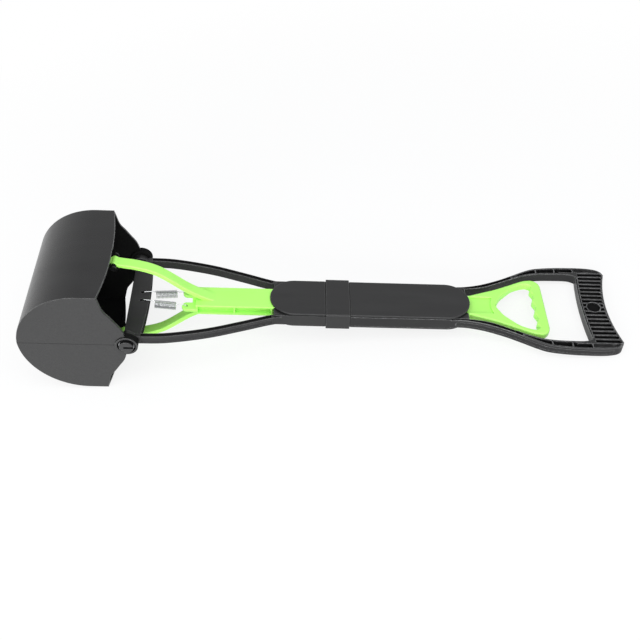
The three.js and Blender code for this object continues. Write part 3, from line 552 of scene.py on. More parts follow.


# In these looks the edge colour lightens edges, as handling wear and as a painted highlight; the end colour
# paints faces that look sideways lighter, as the lamps light them; the hollow colour is painted shade in
# deep hollows.
shellLook = {
    "colour": (0.0115, 0.0115, 0.012), "streakColour": (0.017, 0.017, 0.0175), "streakShare": 0.7,
    "wearAndHighlightColour": (0.36, 0.36, 0.36), "wearAndHighlightShare": 0.55, "wearAndHighlightWidth": 0.0012, "wearAndHighlightBreakup": 240.0,
    "endFinishAndPaintedLightColour": (0.038, 0.038, 0.038), "endFinishAndPaintedLightShare": 1.0,  # the end plates are lighter: partly a matter finish, partly painted light where the front lamp falls
    "paintedHollowShadeColour": (0.003, 0.003, 0.003), "paintedHollowShadeShare": 0.7,
    "roughness": 0.25, "rubRoughness": 0.06, "rubSize": 34.0, "grainRoughness": 0.05,
    "grainSize": 1700.0, "grainDepth": 0.05, "waveSize": 20.0, "waveDepth": 0.035,
    "streakLength": (16.0, 46.0, 46.0), "ior": 1.36,
}
shellPlastic = plastic("glossyBlackShell", shellLook)
# darker and duller: a matt inner finish, and painted shade where it is put on wells, slots and pocket floors
mattPaintedShadePlastic = plastic("mattBlackPaintedShade", {
    **shellLook, "colour": (0.0085, 0.0085, 0.0085), "streakColour": (0.01, 0.01, 0.01), "wearAndHighlightShare": 0.0,
    "endFinishAndPaintedLightShare": 0.0, "paintedHollowShadeShare": 0.55, "roughness": 0.5, "ior": 1.06,
})
frameLook = {
    "colour": (0.0125, 0.0125, 0.013), "streakColour": (0.018, 0.018, 0.0185), "streakShare": 0.7,
    "wearAndHighlightColour": (0.30, 0.30, 0.30), "wearAndHighlightShare": 0.5, "wearAndHighlightWidth": 0.0011, "wearAndHighlightBreakup": 300.0,
    "endFinishAndPaintedLightColour": (0.024, 0.024, 0.024), "endFinishAndPaintedLightShare": 0.8,
    "paintedHollowShadeColour": (0.001, 0.001, 0.001), "paintedHollowShadeShare": 1.0,
    "roughness": 0.34, "rubRoughness": 0.1, "rubSize": 60.0, "grainRoughness": 0.08,
    "grainSize": 1500.0, "grainDepth": 0.09, "waveSize": 34.0, "waveDepth": 0.05,
    "streakLength": (10.0, 80.0, 80.0), "ior": 1.375,
}
railPlastic = plastic("satinBlackRail", {**frameLook, "colour": (0.0095, 0.0095, 0.0099)})
# its edges carry a strong painted highlight besides wear
gripPlastic = plastic("satinBlackGrip", {
    **frameLook, "colour": (0.0105, 0.0105, 0.0109), "wearAndHighlightColour": (0.38, 0.38, 0.38), "wearAndHighlightShare": 0.9,
    "wearAndHighlightWidth": 0.0012, "endFinishAndPaintedLightShare": 0.2, "ior": 1.36,
})
# a stronger painted highlight along its edges
coverPlastic = plastic("satinBlackCover", {**frameLook, "wearAndHighlightShare": 0.36})
limePlastic = plastic("limeGreenSlider", {
    "colour": (0.42, 0.93, 0.155), "streakColour": (0.45, 0.96, 0.185), "streakShare": 0.6,
    "wearAndHighlightColour": (0.60, 1.0, 0.34), "wearAndHighlightShare": 0.25, "wearAndHighlightWidth": 0.002, "wearAndHighlightBreakup": 200.0,
    "endFinishAndPaintedLightColour": (0.42, 0.93, 0.13), "endFinishAndPaintedLightShare": 0.5,
    "paintedHollowShadeColour": (0.26, 0.80, 0.06), "paintedHollowShadeShare": 0.7,
    "roughness": 0.33, "rubRoughness": 0.09, "rubSize": 50.0, "grainRoughness": 0.05,
    "grainSize": 1400.0, "grainDepth": 0.05, "waveSize": 30.0, "waveDepth": 0.05,
    "streakLength": (10.0, 70.0, 70.0), "ior": 1.4,
})


def metal(name, look):
    material, tree, shader, add = newMaterial(name)
    grain, wearHighlightShade = surface(add, look)
    colour = colourMix(add, grain.outputs["Wave"], look["colour"], look["cloudColour"])
    # lighter along edges: wear, and a painted highlight
    colour = colourMix(add, wearHighlightShade.outputs["Mask"], colour, look["wearAndHighlightColour"])
    tree.links.new(colour, shader.inputs["Base Color"])
    spread = add("MapRange", i0=grain.outputs["Grain"], i1=0.0, i2=1.0, i3=look["roughness"],
                 i4=look["roughness"] + look["roughnessSpread"])
    tree.links.new(spread.outputs[0], shader.inputs["Roughness"])
    tree.links.new(grain.outputs["Normal"], shader.inputs["Normal"])
    shader.inputs["Metallic"].default_value = 1.0
    return material


zincLook = {
    "colour": (0.42, 0.43, 0.44), "cloudColour": (0.58, 0.59, 0.60), "wearAndHighlightColour": (0.9, 0.91, 0.92),
    "roughness": 0.16, "roughnessSpread": 0.18, "grainSize": 2600.0, "grainDepth": 0.06,
    "waveSize": 420.0, "waveDepth": 0.08, "wearAndHighlightWidth": 0.0002, "wearAndHighlightBreakup": 700.0,
}
steelWire = metal("brightZincSteel", zincLook)
blackenedSteel = metal("blackenedSteel", {
    **zincLook, "colour": (0.035, 0.035, 0.037), "cloudColour": (0.055, 0.055, 0.058),
    "wearAndHighlightColour": (0.18, 0.18, 0.18), "roughness": 0.34, "wearAndHighlightWidth": 0.0004,
})
print("materials made")


# jaws

jawLook = {
    "radius": 64.6, "centreX": -41.6, "centreDrop": 3.1, "halfWidth": 66, "wall": 2.2, "endPlate": 2.5,
    "lipCornerX": -23.5, "lipBow": 6.5, "lipNotchDepth": 0.5, "arcSteps": 44, "bowSteps": 36,
    "rearShares": [(1, 1), (0.94, 0.914), (0.81, 0.724), (0.59, 0.6), (0.37, 0.468), (0.17, 0.348),
                   (0.06, 0.224), (0, 0.12)],
    "rimRound": 0.7, "insideRound": 0.9, "lipRound": 0.45, "lipRoundStart": 0.4, "lipRoundEnd": 2.9,
    "rearTopShare": 0.975, "hollowRear": 24,
}
hubLook = {
    "radius": 11.2, "rim": 2.2, "rimHeight": 1.5, "wellDepth": 1.4, "earThickness": 2.9, "earReach": 19,
    "sleeve": 4.6, "round": 0.5, "wellFlare": 0.4, "innerEarRound": 0.4, "innerEarRoundOut": 0.25,
}
linkLook = {
    "pinX": -15.5, "pinDrop": 11.9, "pinRadius": 1.6, "lugInner": 6.6, "lugOuter": 9.0, "lugWall": 0.8,
    "slotPlay": 0.3, "slotIn": 2.7, "slotOut": 1.1, "footShort": 5.4, "footLong": 12.1,
    "lugRound": 0.35, "lugRoundDrop": 1.3,
}
jawTop = jawLook["radius"] - jawLook["centreDrop"]
plateInner = jawLook["halfWidth"] - jawLook["endPlate"]
upperEarInner = plateInner - gap
lowerEarOuter = upperEarInner - gap
lowerEarInner = lowerEarOuter - hubLook["earThickness"]
railBossFace = lowerEarInner - gap
wellFloor = jawLook["halfWidth"] - hubLook["wellDepth"]
sleeveEnd = wellFloor + gap
hubTop = jawLook["halfWidth"] + hubLook["rimHeight"]
linkPinZ = jawTop - linkLook["pinDrop"]
lipMiddle = jawLook["lipCornerX"] + jawLook["lipBow"]


def jawArc(radius, side):
    drop = gap / 2 + jawLook["centreDrop"]
    start = math.atan2(drop, -math.sqrt(radius ** 2 - drop ** 2))
    curve = arc(jawLook["centreX"], -jawLook["centreDrop"], radius, start, quarter, jawLook["arcSteps"])
    return [(x, side * z) for x, z in curve]


def jawRear(side):
    return spline([(jawLook["lipCornerX"] * x, side * jawTop * z) for x, z in jawLook["rearShares"]], 44)


def lipAt(y):
    return jawLook["lipCornerX"] + jawLook["lipBow"] * (1 - (y / jawLook["halfWidth"]) ** 2)


def slotOutline(radius, side):
    reach = math.hypot(linkLook["pinX"], linkPinZ)
    aim = math.atan2(linkPinZ, linkLook["pinX"])
    outline = []
    runs = ((linkLook["slotOut"], aim - quarter), (-linkLook["slotIn"], aim + quarter))
    for distance, start in runs:
        share = 1 + distance / reach
        outline += arc(linkLook["pinX"] * share, linkPinZ * share, radius, start, start + math.pi, 12)
    return [(x, side * z) for x, z in outline]


def lugs(side):  # two ears that hold the link's pin, on a foot that follows the jaw's wall
    middle = jawLook["radius"] - jawLook["wall"] / 2
    footEnd = lipMiddle - linkLook["footShort"]
    foot = [(x, math.sqrt(middle ** 2 - (x - jawLook["centreX"]) ** 2) - jawLook["centreDrop"])
            for x in evenly(footEnd - linkLook["footLong"], footEnd, 10)]
    radius = linkLook["pinRadius"] + linkLook["slotPlay"] + linkLook["lugWall"]
    reach = math.hypot(linkLook["pinX"], linkPinZ)
    high, low = 1 + linkLook["slotOut"] / reach, 1 - linkLook["slotIn"] / reach
    top, bend, bottom = 0.75 * math.pi, 0.1 * math.pi, -3 * math.pi / 4
    outline = (foot + arc(linkLook["pinX"] * high, linkPinZ * high, radius, top, bend, 12)
               + arc(linkLook["pinX"] * low, linkPinZ * low, radius, bend, bottom, 16))
    made = []
    for end in (-1, 1):
        ear = slab([(x, side * z) for x, z in outline],
                   *sided(end, linkLook["lugInner"], linkLook["lugOuter"]), "across")
        belowFoot = foot[-1][1] - linkLook["lugRoundDrop"]
        made.append(soften(ear, linkLook["lugRound"], 2, lambda spot: side * spot.z < belowFoot))
    return made


def jawShell(side):
    wallUnder = jawTop - jawLook["wall"]
    half = jawLook["halfWidth"]
    rear = [(x, z) for x, z in jawRear(side) if side * z < wallUnder - 0.3]
    rearTop = jawLook["lipCornerX"] * jawLook["rearTopShare"]
    outline = (
        jawArc(jawLook["radius"], side)
        + [(lipMiddle + past, side * jawTop), (lipMiddle + past, side * wallUnder),
           (rearTop, side * wallUnder)]
        + rear + [(0, side * gap / 2)]
    )
    shell = slab(outline, -half, half, "across")
    soften(shell, jawLook["rimRound"], 3, lambda spot: abs(spot.y) > half - close and abs(spot.z) > 1)
    innerArc = jawArc(jawLook["radius"] - jawLook["wall"], side)
    hollowEnd = lipMiddle + jawLook["hollowRear"]
    hollow = innerArc + [
        (lipMiddle + 3 * past, side * wallUnder), (hollowEnd, side * wallUnder),
        (hollowEnd, -side * past), (innerArc[0][0], -side * past),
    ]
    hollowed = slab(hollow, -plateInner, plateInner, "across")
    soften(hollowed, jawLook["insideRound"], 3, lambda spot: abs(spot.y) > plateInner - close)
    notch = linkLook["lugInner"]
    beyond = []
    for y in evenly(-half, half, jawLook["bowSteps"]):
        if abs(y) > notch + 1.5:
            beyond.append((lipAt(y), y))
        elif not beyond or beyond[-1][1] < -notch:
            notchX = lipMiddle - jawLook["lipNotchDepth"]
            beyond += [(lipAt(notch), -notch), (notchX, -notch),
                       (notchX, notch), (lipAt(notch), notch)]
    beyond += [(lipMiddle + 3 * past, half + past), (lipMiddle + 3 * past, -half - past)]
    bow = slab(beyond, *sided(side, wallUnder - 0.05, jawTop + past))
    carve(shell, hollowed, bow)

    def onLip(spot):
        height = side * spot.z
        return (spot.x > jawLook["lipCornerX"] - jawLook["lipRoundStart"]
                and abs(spot.y) < half - jawLook["lipRoundEnd"]
                and (abs(height - jawTop) < 0.02 or abs(height - wallUnder) < 0.06))

    soften(shell, jawLook["lipRound"], 3, onLip)
    weld(shell, *lugs(side))
    addEar = outerEar if side > 0 else innerEar
    for end in (-1, 1):
        addEar(shell, end)
    slot = slotOutline(linkLook["pinRadius"] + linkLook["slotPlay"], side)
    reach = linkLook["lugOuter"] + past
    return carve(shell, slab(slot, -reach, reach, "across"))


def markInside(shell, side):  # the inside of the jaw with its lugs, and the walls of the hinge's rim, get the darker matt black: a matt inner finish, and painted shade
    reach = jawLook["radius"] - jawLook["wall"] + 0.15
    for face in shell.data.polygons:
        x, y, z = face.center
        away = math.hypot(min(0, x - jawLook["centreX"]), z + side * jawLook["centreDrop"])
        if away < reach and abs(y) < plateInner + 0.15 and side * z < jawTop - jawLook["wall"] + 0.1:
            face.material_index = 1
        if math.hypot(x, z) < hubLook["radius"] + 0.1 and wellFloor - 0.1 < abs(y) < hubTop - 0.3:
            face.material_index = 1
    return shell


def outerEar(shell, end):
    radius, rim = hubLook["radius"], hubLook["rim"]
    weld(shell, endDisc(end, radius, upperEarInner, hubTop,
                        innerRound=edgeRound, outerRound=hubLook["round"]))
    inner, flare = radius - rim, hubLook["wellFlare"]
    low, high = wellFloor, hubTop + past
    profile = [(0, low), (inner - edgeRound, low), (inner, low + edgeRound), (inner, hubTop - flare),
               (inner + flare * 0.3, hubTop - flare * 0.3), (inner + flare, hubTop),
               (inner + flare, high), (0, high)]
    if end < 0:
        profile = [(r, -h) for r, h in profile]
    carve(shell, turned(profile, 0, 0),
          endDisc(end, hubLook["sleeve"] + gap, upperEarInner - past, hubTop + past))


def innerEar(shell, end):
    radius, reach = hubLook["radius"], hubLook["earReach"]
    clearance = (radius + gap, lowerEarOuter, jawLook["halfWidth"] + past)
    carve(shell, endDisc(end, *clearance))
    outline = jawArc(jawLook["radius"], -1) + jawRear(-1) + [(0, -gap / 2)]
    pad = slab(outline, *sided(end, lowerEarInner, plateInner + gap), "across")
    combine(pad, "INTERSECT", [endDisc(end, reach, lowerEarInner - past, jawLook["halfWidth"])])
    soften(pad, hubLook["innerEarRound"], 2, lambda spot: abs(abs(spot.y) - lowerEarInner) < 0.02)
    carve(pad, endDisc(end, *clearance))
    weld(shell, endDisc(end, radius, lowerEarInner, lowerEarOuter, innerRound=hubLook["innerEarRound"],
                        outerRound=hubLook["innerEarRoundOut"]), pad)
    carve(shell, endDisc(end, hubLook["sleeve"] + gap, lowerEarInner - past, jawLook["halfWidth"]))


for jawName, jawSide, jawBody in (("upper_jaw", 1, "upper"), ("lower_jaw", -1, "lower")):
    jaw = markInside(jawShell(jawSide), jawSide)
    finish(jaw, jawName + "_shell", jawBody, shellPlastic, [jawName], mattPaintedShadePlastic)
print("jaws made")


# hinge caps

capLook = {
    "radius": 7, "thickness": 1.5, "skirt": 0.9, "skirtHeight": 3.2, "slotStart": -2.6,
    "slotHalf": 1.25, "slotDepth": 1.25, "round": 0.5, "skirtRound": 0.15, "washer": 1, "screwHead": 1.3,
}
capInner = sleeveEnd + capLook["washer"] + 2 * gap + capLook["screwHead"] + gap


def pivotCap(end):
    radius = capLook["radius"]
    outer = capInner + capLook["thickness"]
    foot = capInner - capLook["skirtHeight"]
    cap = endDisc(end, radius, foot, outer, innerRound=capLook["skirtRound"],
                  outerRound=capLook["round"])
    under = endDisc(end, radius - capLook["skirt"], foot - past, capInner)
    slot = rectangle(capLook["slotStart"], radius + past, -capLook["slotHalf"], capLook["slotHalf"])
    tool = slab(slot, *sided(end, outer - capLook["slotDepth"], outer + past), "across")
    carve(cap, under, tool)
    for face in cap.data.polygons:  # the skirt and the slot are matt and painted darker, as shade
        if abs(face.center.y) < outer - capLook["round"] - 0.05:
            face.material_index = 1
    return cap


for place, end in (("near", -1), ("far", 1)):
    finish(pivotCap(end), place + "_hinge_cap", "upper", shellPlastic, [place + "_pivot_cap"],
           mattPaintedShadePlastic)
print("caps made")


# covers and band

bodyLook = {
    "halfWidth": 25.5, "wall": 3.1, "halfHeight": 6.3, "spliceX": 207, "lap": 8, "endX": 322,
    "guideRib": 2.4, "startX": 142, "guides": [160, 188, 228, 262, 286, 316], "screws": [172, 242, 306],
    "shoulder": (321, 340.4), "frontShoulder": (142, 161), "shoulderDrop": 0.3,
    "shoulderRound": 0.5, "channel": 14.6, "boss": 3.2, "bossRound": 0.2, "bossY": 18.4,
    "eyeHalfLength": 5, "eyeHalfHeight": 1.6,
}
coverLook = {
    "halfWidth": 25, "thickness": 2, "frontX": 137.9, "rearX": 343, "round": 0.85, "innerRound": 0.25,
    "line": 0.9, "lineDepth": 0.8, "screwRadius": 1.25, "headRadius": 2.6, "screwLength": 9.8,
}
bandLook = {"length": 24, "wall": 1.2, "round": 0.4, "innerRound": 0.2}
wallInner = bodyLook["halfWidth"] - bodyLook["wall"]
coverInner = bodyLook["halfHeight"] + gap
coverOuter = coverInner + coverLook["thickness"]
bossMeet = bodyLook["eyeHalfHeight"] + gap


def coverOutline(front):
    half, splice = coverLook["halfWidth"], bodyLook["spliceX"]
    if front:
        end = arc(coverLook["frontX"] + half, 0, half, quarter, 3 * quarter, 48)
        return end + [(splice - gap / 2, -half), (splice - gap / 2, half)]
    end = arc(coverLook["rearX"] - half, 0, half, -quarter, quarter, 48)
    return end + [(splice + gap / 2, half), (splice + gap / 2, -half)]


def cover(front, side):
    plate = slab(coverOutline(front), *sided(side, coverInner, coverOuter))
    splice = bodyLook["spliceX"]

    def away(spot):  # from the splice under the band
        return abs(spot.x - splice) > 1

    soften(plate, coverLook["round"], 4, atHeight(coverOuter, away))
    soften(plate, coverLook["innerRound"], 2, atHeight(coverInner, away))
    if front:  # a thin line beside the band
        bandEdge = splice - bandLook["length"] / 2
        line = (bandEdge - coverLook["line"], bandEdge + 1)
    else:
        bandEdge = splice + bandLook["length"] / 2
        line = (bandEdge - 1, bandEdge + coverLook["line"])
    half = coverLook["halfWidth"] + past
    carve(plate, slab(rectangle(*line, -half, half),
                      *sided(side, coverOuter - coverLook["lineDepth"], coverOuter + past)))
    for x in [x for x in bodyLook["screws"] if (x < splice) == front]:
        for end in (-1, 1):
            y = end * bodyLook["bossY"]
            if side > 0:
                weld(plate, disc(bodyLook["boss"], -bossMeet + gap, coverOuter - gap, x, y, "up",
                                 bodyLook["bossRound"], 0, 32))
                carve(plate, disc(coverLook["screwRadius"] + gap, -coverOuter,
                                  coverLook["screwLength"] - coverInner + past - gap, x, y, "up", 0, 0, 24))
            else:
                boss = disc(bodyLook["boss"], -coverInner - gap, -bossMeet, x, y, "up",
                            0, bodyLook["bossRound"], 32)
                wide = coverLook["headRadius"] + gap
                well = turned(
                    [(0, -coverOuter - past), (wide + edgeRound, -coverOuter - past),
                     (wide + edgeRound, -coverOuter), (wide, -coverOuter + edgeRound),
                     (wide, -coverInner - 0.02), (0, -coverInner - 0.02)],
                    x, y, "up", 32)
                carve(plate, well)
                weld(plate, boss)
                carve(plate, disc(coverLook["screwRadius"] + gap, -coverOuter, 0, x, y, "up", 0, 0, 24))
    return plate


for name, front, side in (
    ("front_top_cover", True, 1), ("rear_top_cover", False, 1),
    ("front_bottom_cover", True, -1), ("rear_bottom_cover", False, -1),
):
    finish(cover(front, side), name + "_plate", "frame", coverPlastic, [name])


def roundRectangle(halfA, halfB, radius, steps=8):
    points = []
    for signA, signB, start in ((1, 1, 0), (-1, 1, 0.5), (-1, -1, 1), (1, -1, 1.5)):
        points += arc(signA * (halfA - radius), signB * (halfB - radius), radius,
                      start * math.pi, (start + 0.5) * math.pi, steps)
    return points


def spliceBand():
    halfY, halfZ = bodyLook["halfWidth"] + gap, coverOuter + gap
    wall = bandLook["wall"]
    low = bodyLook["spliceX"] - bandLook["length"] / 2
    high = low + bandLook["length"]
    band = slab(roundRectangle(halfY + wall, halfZ + wall, wall * 2), low, high, "along")
    soften(band, bandLook["round"], 3)
    inner = roundRectangle(halfY, halfZ, wall / 2)
    return carve(band, through(inner, low, high, bandLook["innerRound"], "along", steps=2))


finish(spliceBand(), "body_band", "frame", coverPlastic, ["splice_band"])
print("covers and band made")


# front half of the frame: two rails, crossbar, hinge sleeves, side walls

forkLook = {
    "railLength": 152, "railWidth": 5.6, "railHalfHeight": 4.8, "railInset": 0.9, "bossRadius": 8,
    "railShares": [(0, 1), (0.07, 1), (0.25, 0.96), (0.5, 0.73), (0.72, 0.41), (0.9, 0.12), (1, 0)],
    "round": 0.8, "grooveRim": 0.95, "grooveDepth": 2.2, "grooveStartX": 11, "grooveEndX": 141,
    "grooveRound": 0.25, "sideHalfHeight": 2.3, "sideDepth": 0.5, "screwHole": 1.9,
    "screwHoleDepth": 15, "bossRoundIn": 0.5, "bossRoundOut": 0.4,
    "barBack": 3.8, "barFront": 12.6, "barBow": 3.2, "barHalfHeight": 4, "barSkin": 2.2, "barRound": 0.8,
    "barHollowRound": 0.5, "barHollowCorner": 1.2,
    "hookX": 8.8, "hookY": 5.8, "hookHole": 1.1, "slotHalf": 1.4, "slotDepth": 1.3, "slotFront": 1.6,
    "slotRear": 0.2,
}
railOuterHalf = railBossFace - forkLook["railInset"]


def railLine(steps=60):
    spread = railOuterHalf - bodyLook["halfWidth"]
    return spline([(forkLook["railLength"] * x, bodyLook["halfWidth"] + spread * y)
                   for x, y in forkLook["railShares"]], steps)


def rail(end):
    outer = railLine()
    width, rim = forkLook["railWidth"], forkLook["grooveRim"]

    def strip(line, near, far):
        return facing(beside(line, lambda share: near) + beside(line, lambda share: far)[::-1], end)

    height = forkLook["railHalfHeight"]
    bar = slab(strip(outer, 0, -width), -height, height)
    soften(bar, forkLook["round"], 4, atHeight(height))
    line = [(x, y) for x, y in outer if forkLook["grooveStartX"] < x < forkLook["grooveEndX"]]
    groove = strip(line, -rim, -width + rim)
    grooves = [pocket(groove, height - forkLook["grooveDepth"], height,
                      forkLook["grooveRound"], side) for side in (1, -1)]
    tall = forkLook["sideHalfHeight"]
    channel = slab(strip(line, 1, -forkLook["sideDepth"]), -tall, tall)
    soften(channel, edgeRound, 2, atHeight(tall))
    return carve(bar, *grooves, channel)


def crossbar():
    reach = railOuterHalf - forkLook["railWidth"] / 2
    front = [(forkLook["barFront"] + forkLook["barBow"] * (1 - share ** 2), share * reach)
             for share in evenly(-1, 1, 24)]
    back = -forkLook["barBack"]
    height, skin = forkLook["barHalfHeight"], forkLook["barSkin"]
    bar = slab(front + [(back, reach), (back, -reach)], -height, height)
    soften(bar, forkLook["barRound"], 4,
           lambda spot: abs(spot.z) > height - close and abs(spot.y) < reach - 0.5)
    narrow = 1 - forkLook["railWidth"] / reach
    hollow = [(x - skin, y * narrow) for x, y in front]
    hollow += [(back + skin, reach - forkLook["railWidth"]), (back + skin, -reach + forkLook["railWidth"])]
    under = slab(rounded(hollow, forkLook["barHollowCorner"]), -height - past, height - skin)
    soften(under, forkLook["barHollowRound"], 2, lambda spot: spot.z > height - skin - close)
    return carve(bar, under)


def post(x, y, radius, low, high, steps=24):
    return disc(radius, low, high, x, y, "up", 0, 0, steps)


def wallPieces(from_, to, end, guides, screws):
    low, high = sided(end, wallInner, bodyLook["halfWidth"])
    height = bodyLook["halfHeight"]
    wall = slab(rectangle(from_, to, low, high), -height, height)
    soften(wall, edgeRound, 2, atHeight(height))
    channel = bodyLook["channel"]
    across = sided(end, channel, wallInner + bodyLook["wall"] / 2)
    parts = []
    for x in guides:
        half = bodyLook["guideRib"] / 2
        rib = slab(rectangle(x - half, x + half, *across), -height, height)
        parts.append(soften(rib, edgeRound, 2, lambda spot: abs(spot.y) < channel + 0.1
                            or abs(spot.z) > height - close))
    for x in screws:
        length = bodyLook["eyeHalfLength"]
        parts.append(slab(rectangle(x - length, x + length, *across),
                          -bodyLook["eyeHalfHeight"], bodyLook["eyeHalfHeight"]))
    weld(wall, *parts)
    for x in screws:
        top = bodyLook["eyeHalfHeight"] + past
        carve(wall, post(x, end * bodyLook["bossY"], bodyLook["boss"] + gap, -top, top, 32))
    return wall


def shoulder(end, from_, to, where):  # fills the body's mouth beside the slider
    tall = bodyLook["halfHeight"] - bodyLook["shoulderDrop"]
    filling = slab(rectangle(from_, to, *sided(end, bodyLook["channel"], wallInner + 1)), -tall, tall)
    return soften(filling, bodyLook["shoulderRound"], 2, where)


def lapPiece(end, from_, to, outside):
    middle = (wallInner + bodyLook["halfWidth"]) / 2
    faces = (middle + gap / 2, bodyLook["halfWidth"]) if outside else (wallInner, middle - gap / 2)
    low, high = sided(end, *faces)
    return slab(rectangle(from_, to, low, high), -bodyLook["halfHeight"], bodyLook["halfHeight"])


def forkFrame():
    body = crossbar()
    splice, overlap = bodyLook["spliceX"], bodyLook["lap"]
    start = bodyLook["startX"]
    height = forkLook["barHalfHeight"]
    for end in (-1, 1):
        inner = railOuterHalf - forkLook["railWidth"]
        weld(body, rail(end))
        weld(body, endDisc(end, forkLook["bossRadius"], inner, railBossFace,
                           innerRound=forkLook["bossRoundIn"], outerRound=forkLook["bossRoundOut"]))
        weld(body, endDisc(end, hubLook["sleeve"], inner + 0.5, sleeveEnd, outerRound=edgeRound))
        weld(body, wallPieces(start, splice - overlap, end,
                              [x for x in bodyLook["guides"] if x < splice],
                              [x for x in bodyLook["screws"] if x < splice]))
        weld(body, lapPiece(end, splice - overlap - 0.5, splice + overlap - gap, False))
        weld(body, shoulder(end, *bodyLook["frontShoulder"], lambda spot: spot.x < start + close))
        carve(body, endDisc(end, forkLook["screwHole"] + gap, sleeveEnd - forkLook["screwHoleDepth"],
                            sleeveEnd + past, steps=24))
        y, wide = end * forkLook["hookY"], forkLook["slotHalf"]
        hole = ring(forkLook["hookX"], y, forkLook["hookHole"], 20)
        carve(body, pocket(hole, -height - past, height, edgeRound))
        slot = (arc(forkLook["hookX"] + forkLook["slotRear"], y, wide, -quarter, quarter, 12)
                + arc(forkLook["hookX"] - forkLook["slotFront"], y, wide, quarter, 3 * quarter, 12))
        carve(body, slab(slot, height - forkLook["slotDepth"], height + past))
    for face in body.data.polygons:  # the slots' floors and the bar's rear face are matt and painted darker, as shade
        x, y, z = face.center
        slotFloor = (abs(z - height + forkLook["slotDepth"]) < 0.02
                     and abs(x - forkLook["hookX"]) < 4 and abs(y) < 9)
        barRear = (face.normal.x > 0.6 and forkLook["barFront"] - 2 < x < 18
                   and abs(y) < railOuterHalf - 8)
        if slotFloor or barRear:
            face.material_index = 1
    return body


finish(forkFrame(), "fork_half", "frame", railPlastic, ["fork_frame"], mattPaintedShadePlastic)
print("fork made")


# rear half of the frame: side walls and D grip

gripLook = {
    "reach": 493.3, "halfHeight": 5.25, "flare": 35, "innerFlare": 27.1, "outerBow": 7.6, "innerBow": 2.7,
    "outerShares": [(0, 0), (0.09, 0), (0.2, 0.11), (0.32, 0.335), (0.41, 0.555), (0.5, 0.785),
                    (0.57, 0.91), (0.7, 0.985), (0.86, 1), (0.945, 0.95), (0.985, 0.85), (1, 0.7)],
    "innerShares": [(0, 0), (0.06, -0.01), (0.12, -0.005), (0.235, 0.135), (0.375, 0.53),
                    (0.49, 0.834), (0.58, 0.963), (0.695, 1), (0.78, 0.985), (0.82, 0.87)],
    "rim": 2.3, "ribs": 19, "ribPitch": 5.8, "rib": 1.9, "floor": 1.2, "round": 0.9, "windowRound": 0.7,
    "pocketRound": 0.3, "pocketCorner": 0.8, "sideCorner": 0.6,
    "discInset": 20.7, "discRadius": 6.8, "discRim": 0.9, "discDepth": 2.2,
    "sideStart": 0.42, "sideRim": 1.9, "sideRib": 1.3, "sidePitch": 20.1, "sideRibX": 420.6,
    "sideTurn": 446, "sideWall": 1.7, "sideSteps": 12,
    "grooveStart": 0.03, "grooveEnd": 0.41, "grooveRim": 0.85, "grooveDepth": 2.2,
    "lineIn": 0.3, "lineWidth": 0.9, "lineDepth": 2.2, "channelHalf": 2.2, "channelDepth": 0.3,
    "channelEnd": 0.93,
}
gripLength = gripLook["reach"] - bodyLook["endX"]
discX = gripLook["reach"] - gripLook["discInset"]


def gripSide(shares, foot, flare, steps=66):
    return spline([(bodyLook["endX"] + gripLength * x, foot + flare * y) for x, y in shares], steps)


gripOuter = gripSide(gripLook["outerShares"], bodyLook["halfWidth"], gripLook["flare"])
gripInner = gripSide(gripLook["innerShares"], wallInner, gripLook["innerFlare"])


def bowed(corner, bow, y):
    return corner[0] - bow * (1 - min(1, abs(y / corner[1])) ** 2)


def bowedEdge(corner, bow, steps=24):
    return [(bowed(corner, bow, y), y) for y in evenly(corner[1], -corner[1], steps)[1:-1]]


def alongGrip(start, end, steps):  # places from one share of the grip's length to another
    return [bodyLook["endX"] + gripLength * share for share in evenly(start, end, steps)]


def pocketTool(points, side, depth=None):
    low = gripLook["floor"] / 2 if depth is None else gripLook["halfHeight"] - depth
    return pocket(points, low, gripLook["halfHeight"], gripLook["pocketRound"], side)


def gripPockets(side):
    width = gripLook["ribPitch"] - gripLook["rib"]
    tools = []
    for i in range(gripLook["ribs"] - 1):
        y = (i - (gripLook["ribs"] - 2) / 2) * gripLook["ribPitch"]
        x0 = bowed(gripInner[-1], gripLook["innerBow"], y) + gripLook["rim"]
        x1 = bowed(gripOuter[-1], gripLook["outerBow"], abs(y) + width / 2) - gripLook["rim"]
        outline = rectangle(x0, x1, y - width / 2, y + width / 2)
        tools.append(pocketTool(rounded(outline, gripLook["pocketCorner"], 3), side))
    pockets = gathered(tools)
    tall = gripLook["halfHeight"] + 2 * past
    return carve(pockets, post(discX, 0, gripLook["discRadius"] + gripLook["discRim"], -tall, tall, 40))


def sidePockets(end, side):
    start = bodyLook["endX"] + gripLength * gripLook["sideStart"]
    lastRib = (gripLook["ribs"] - 1) / 2 * gripLook["ribPitch"] - gripLook["rib"] / 2 + gripLook["sideWall"]
    stop = bowed(gripOuter[-1], gripLook["outerBow"], lastRib + 4) - gripLook["rim"]
    wall = beside(gripOuter, lambda share: -gripLook["sideRim"])
    tools = []
    x0, ribX, halfRib = start, gripLook["sideRibX"], gripLook["sideRib"] / 2
    while x0 < stop - gripLook["rim"]:
        x1 = ribX - halfRib if ribX < gripInner[-1][0] + gripLook["sidePitch"] / 2 else stop
        places = evenly(x0, x1, gripLook["sideSteps"])
        outer = [(x, readOff(wall, x)) for x in places]
        inner = [(x, readOff(gripInner, x) + gripLook["sideRim"] if x < gripLook["sideTurn"] else lastRib)
                 for x in places]
        outline = rounded(outer + inner[::-1], gripLook["sideCorner"], 2, 50)
        tools.append(pocketTool(facing(outline, end), side))
        x0 = ribX + halfRib
        ribX += gripLook["sidePitch"]
    return gathered(tools)


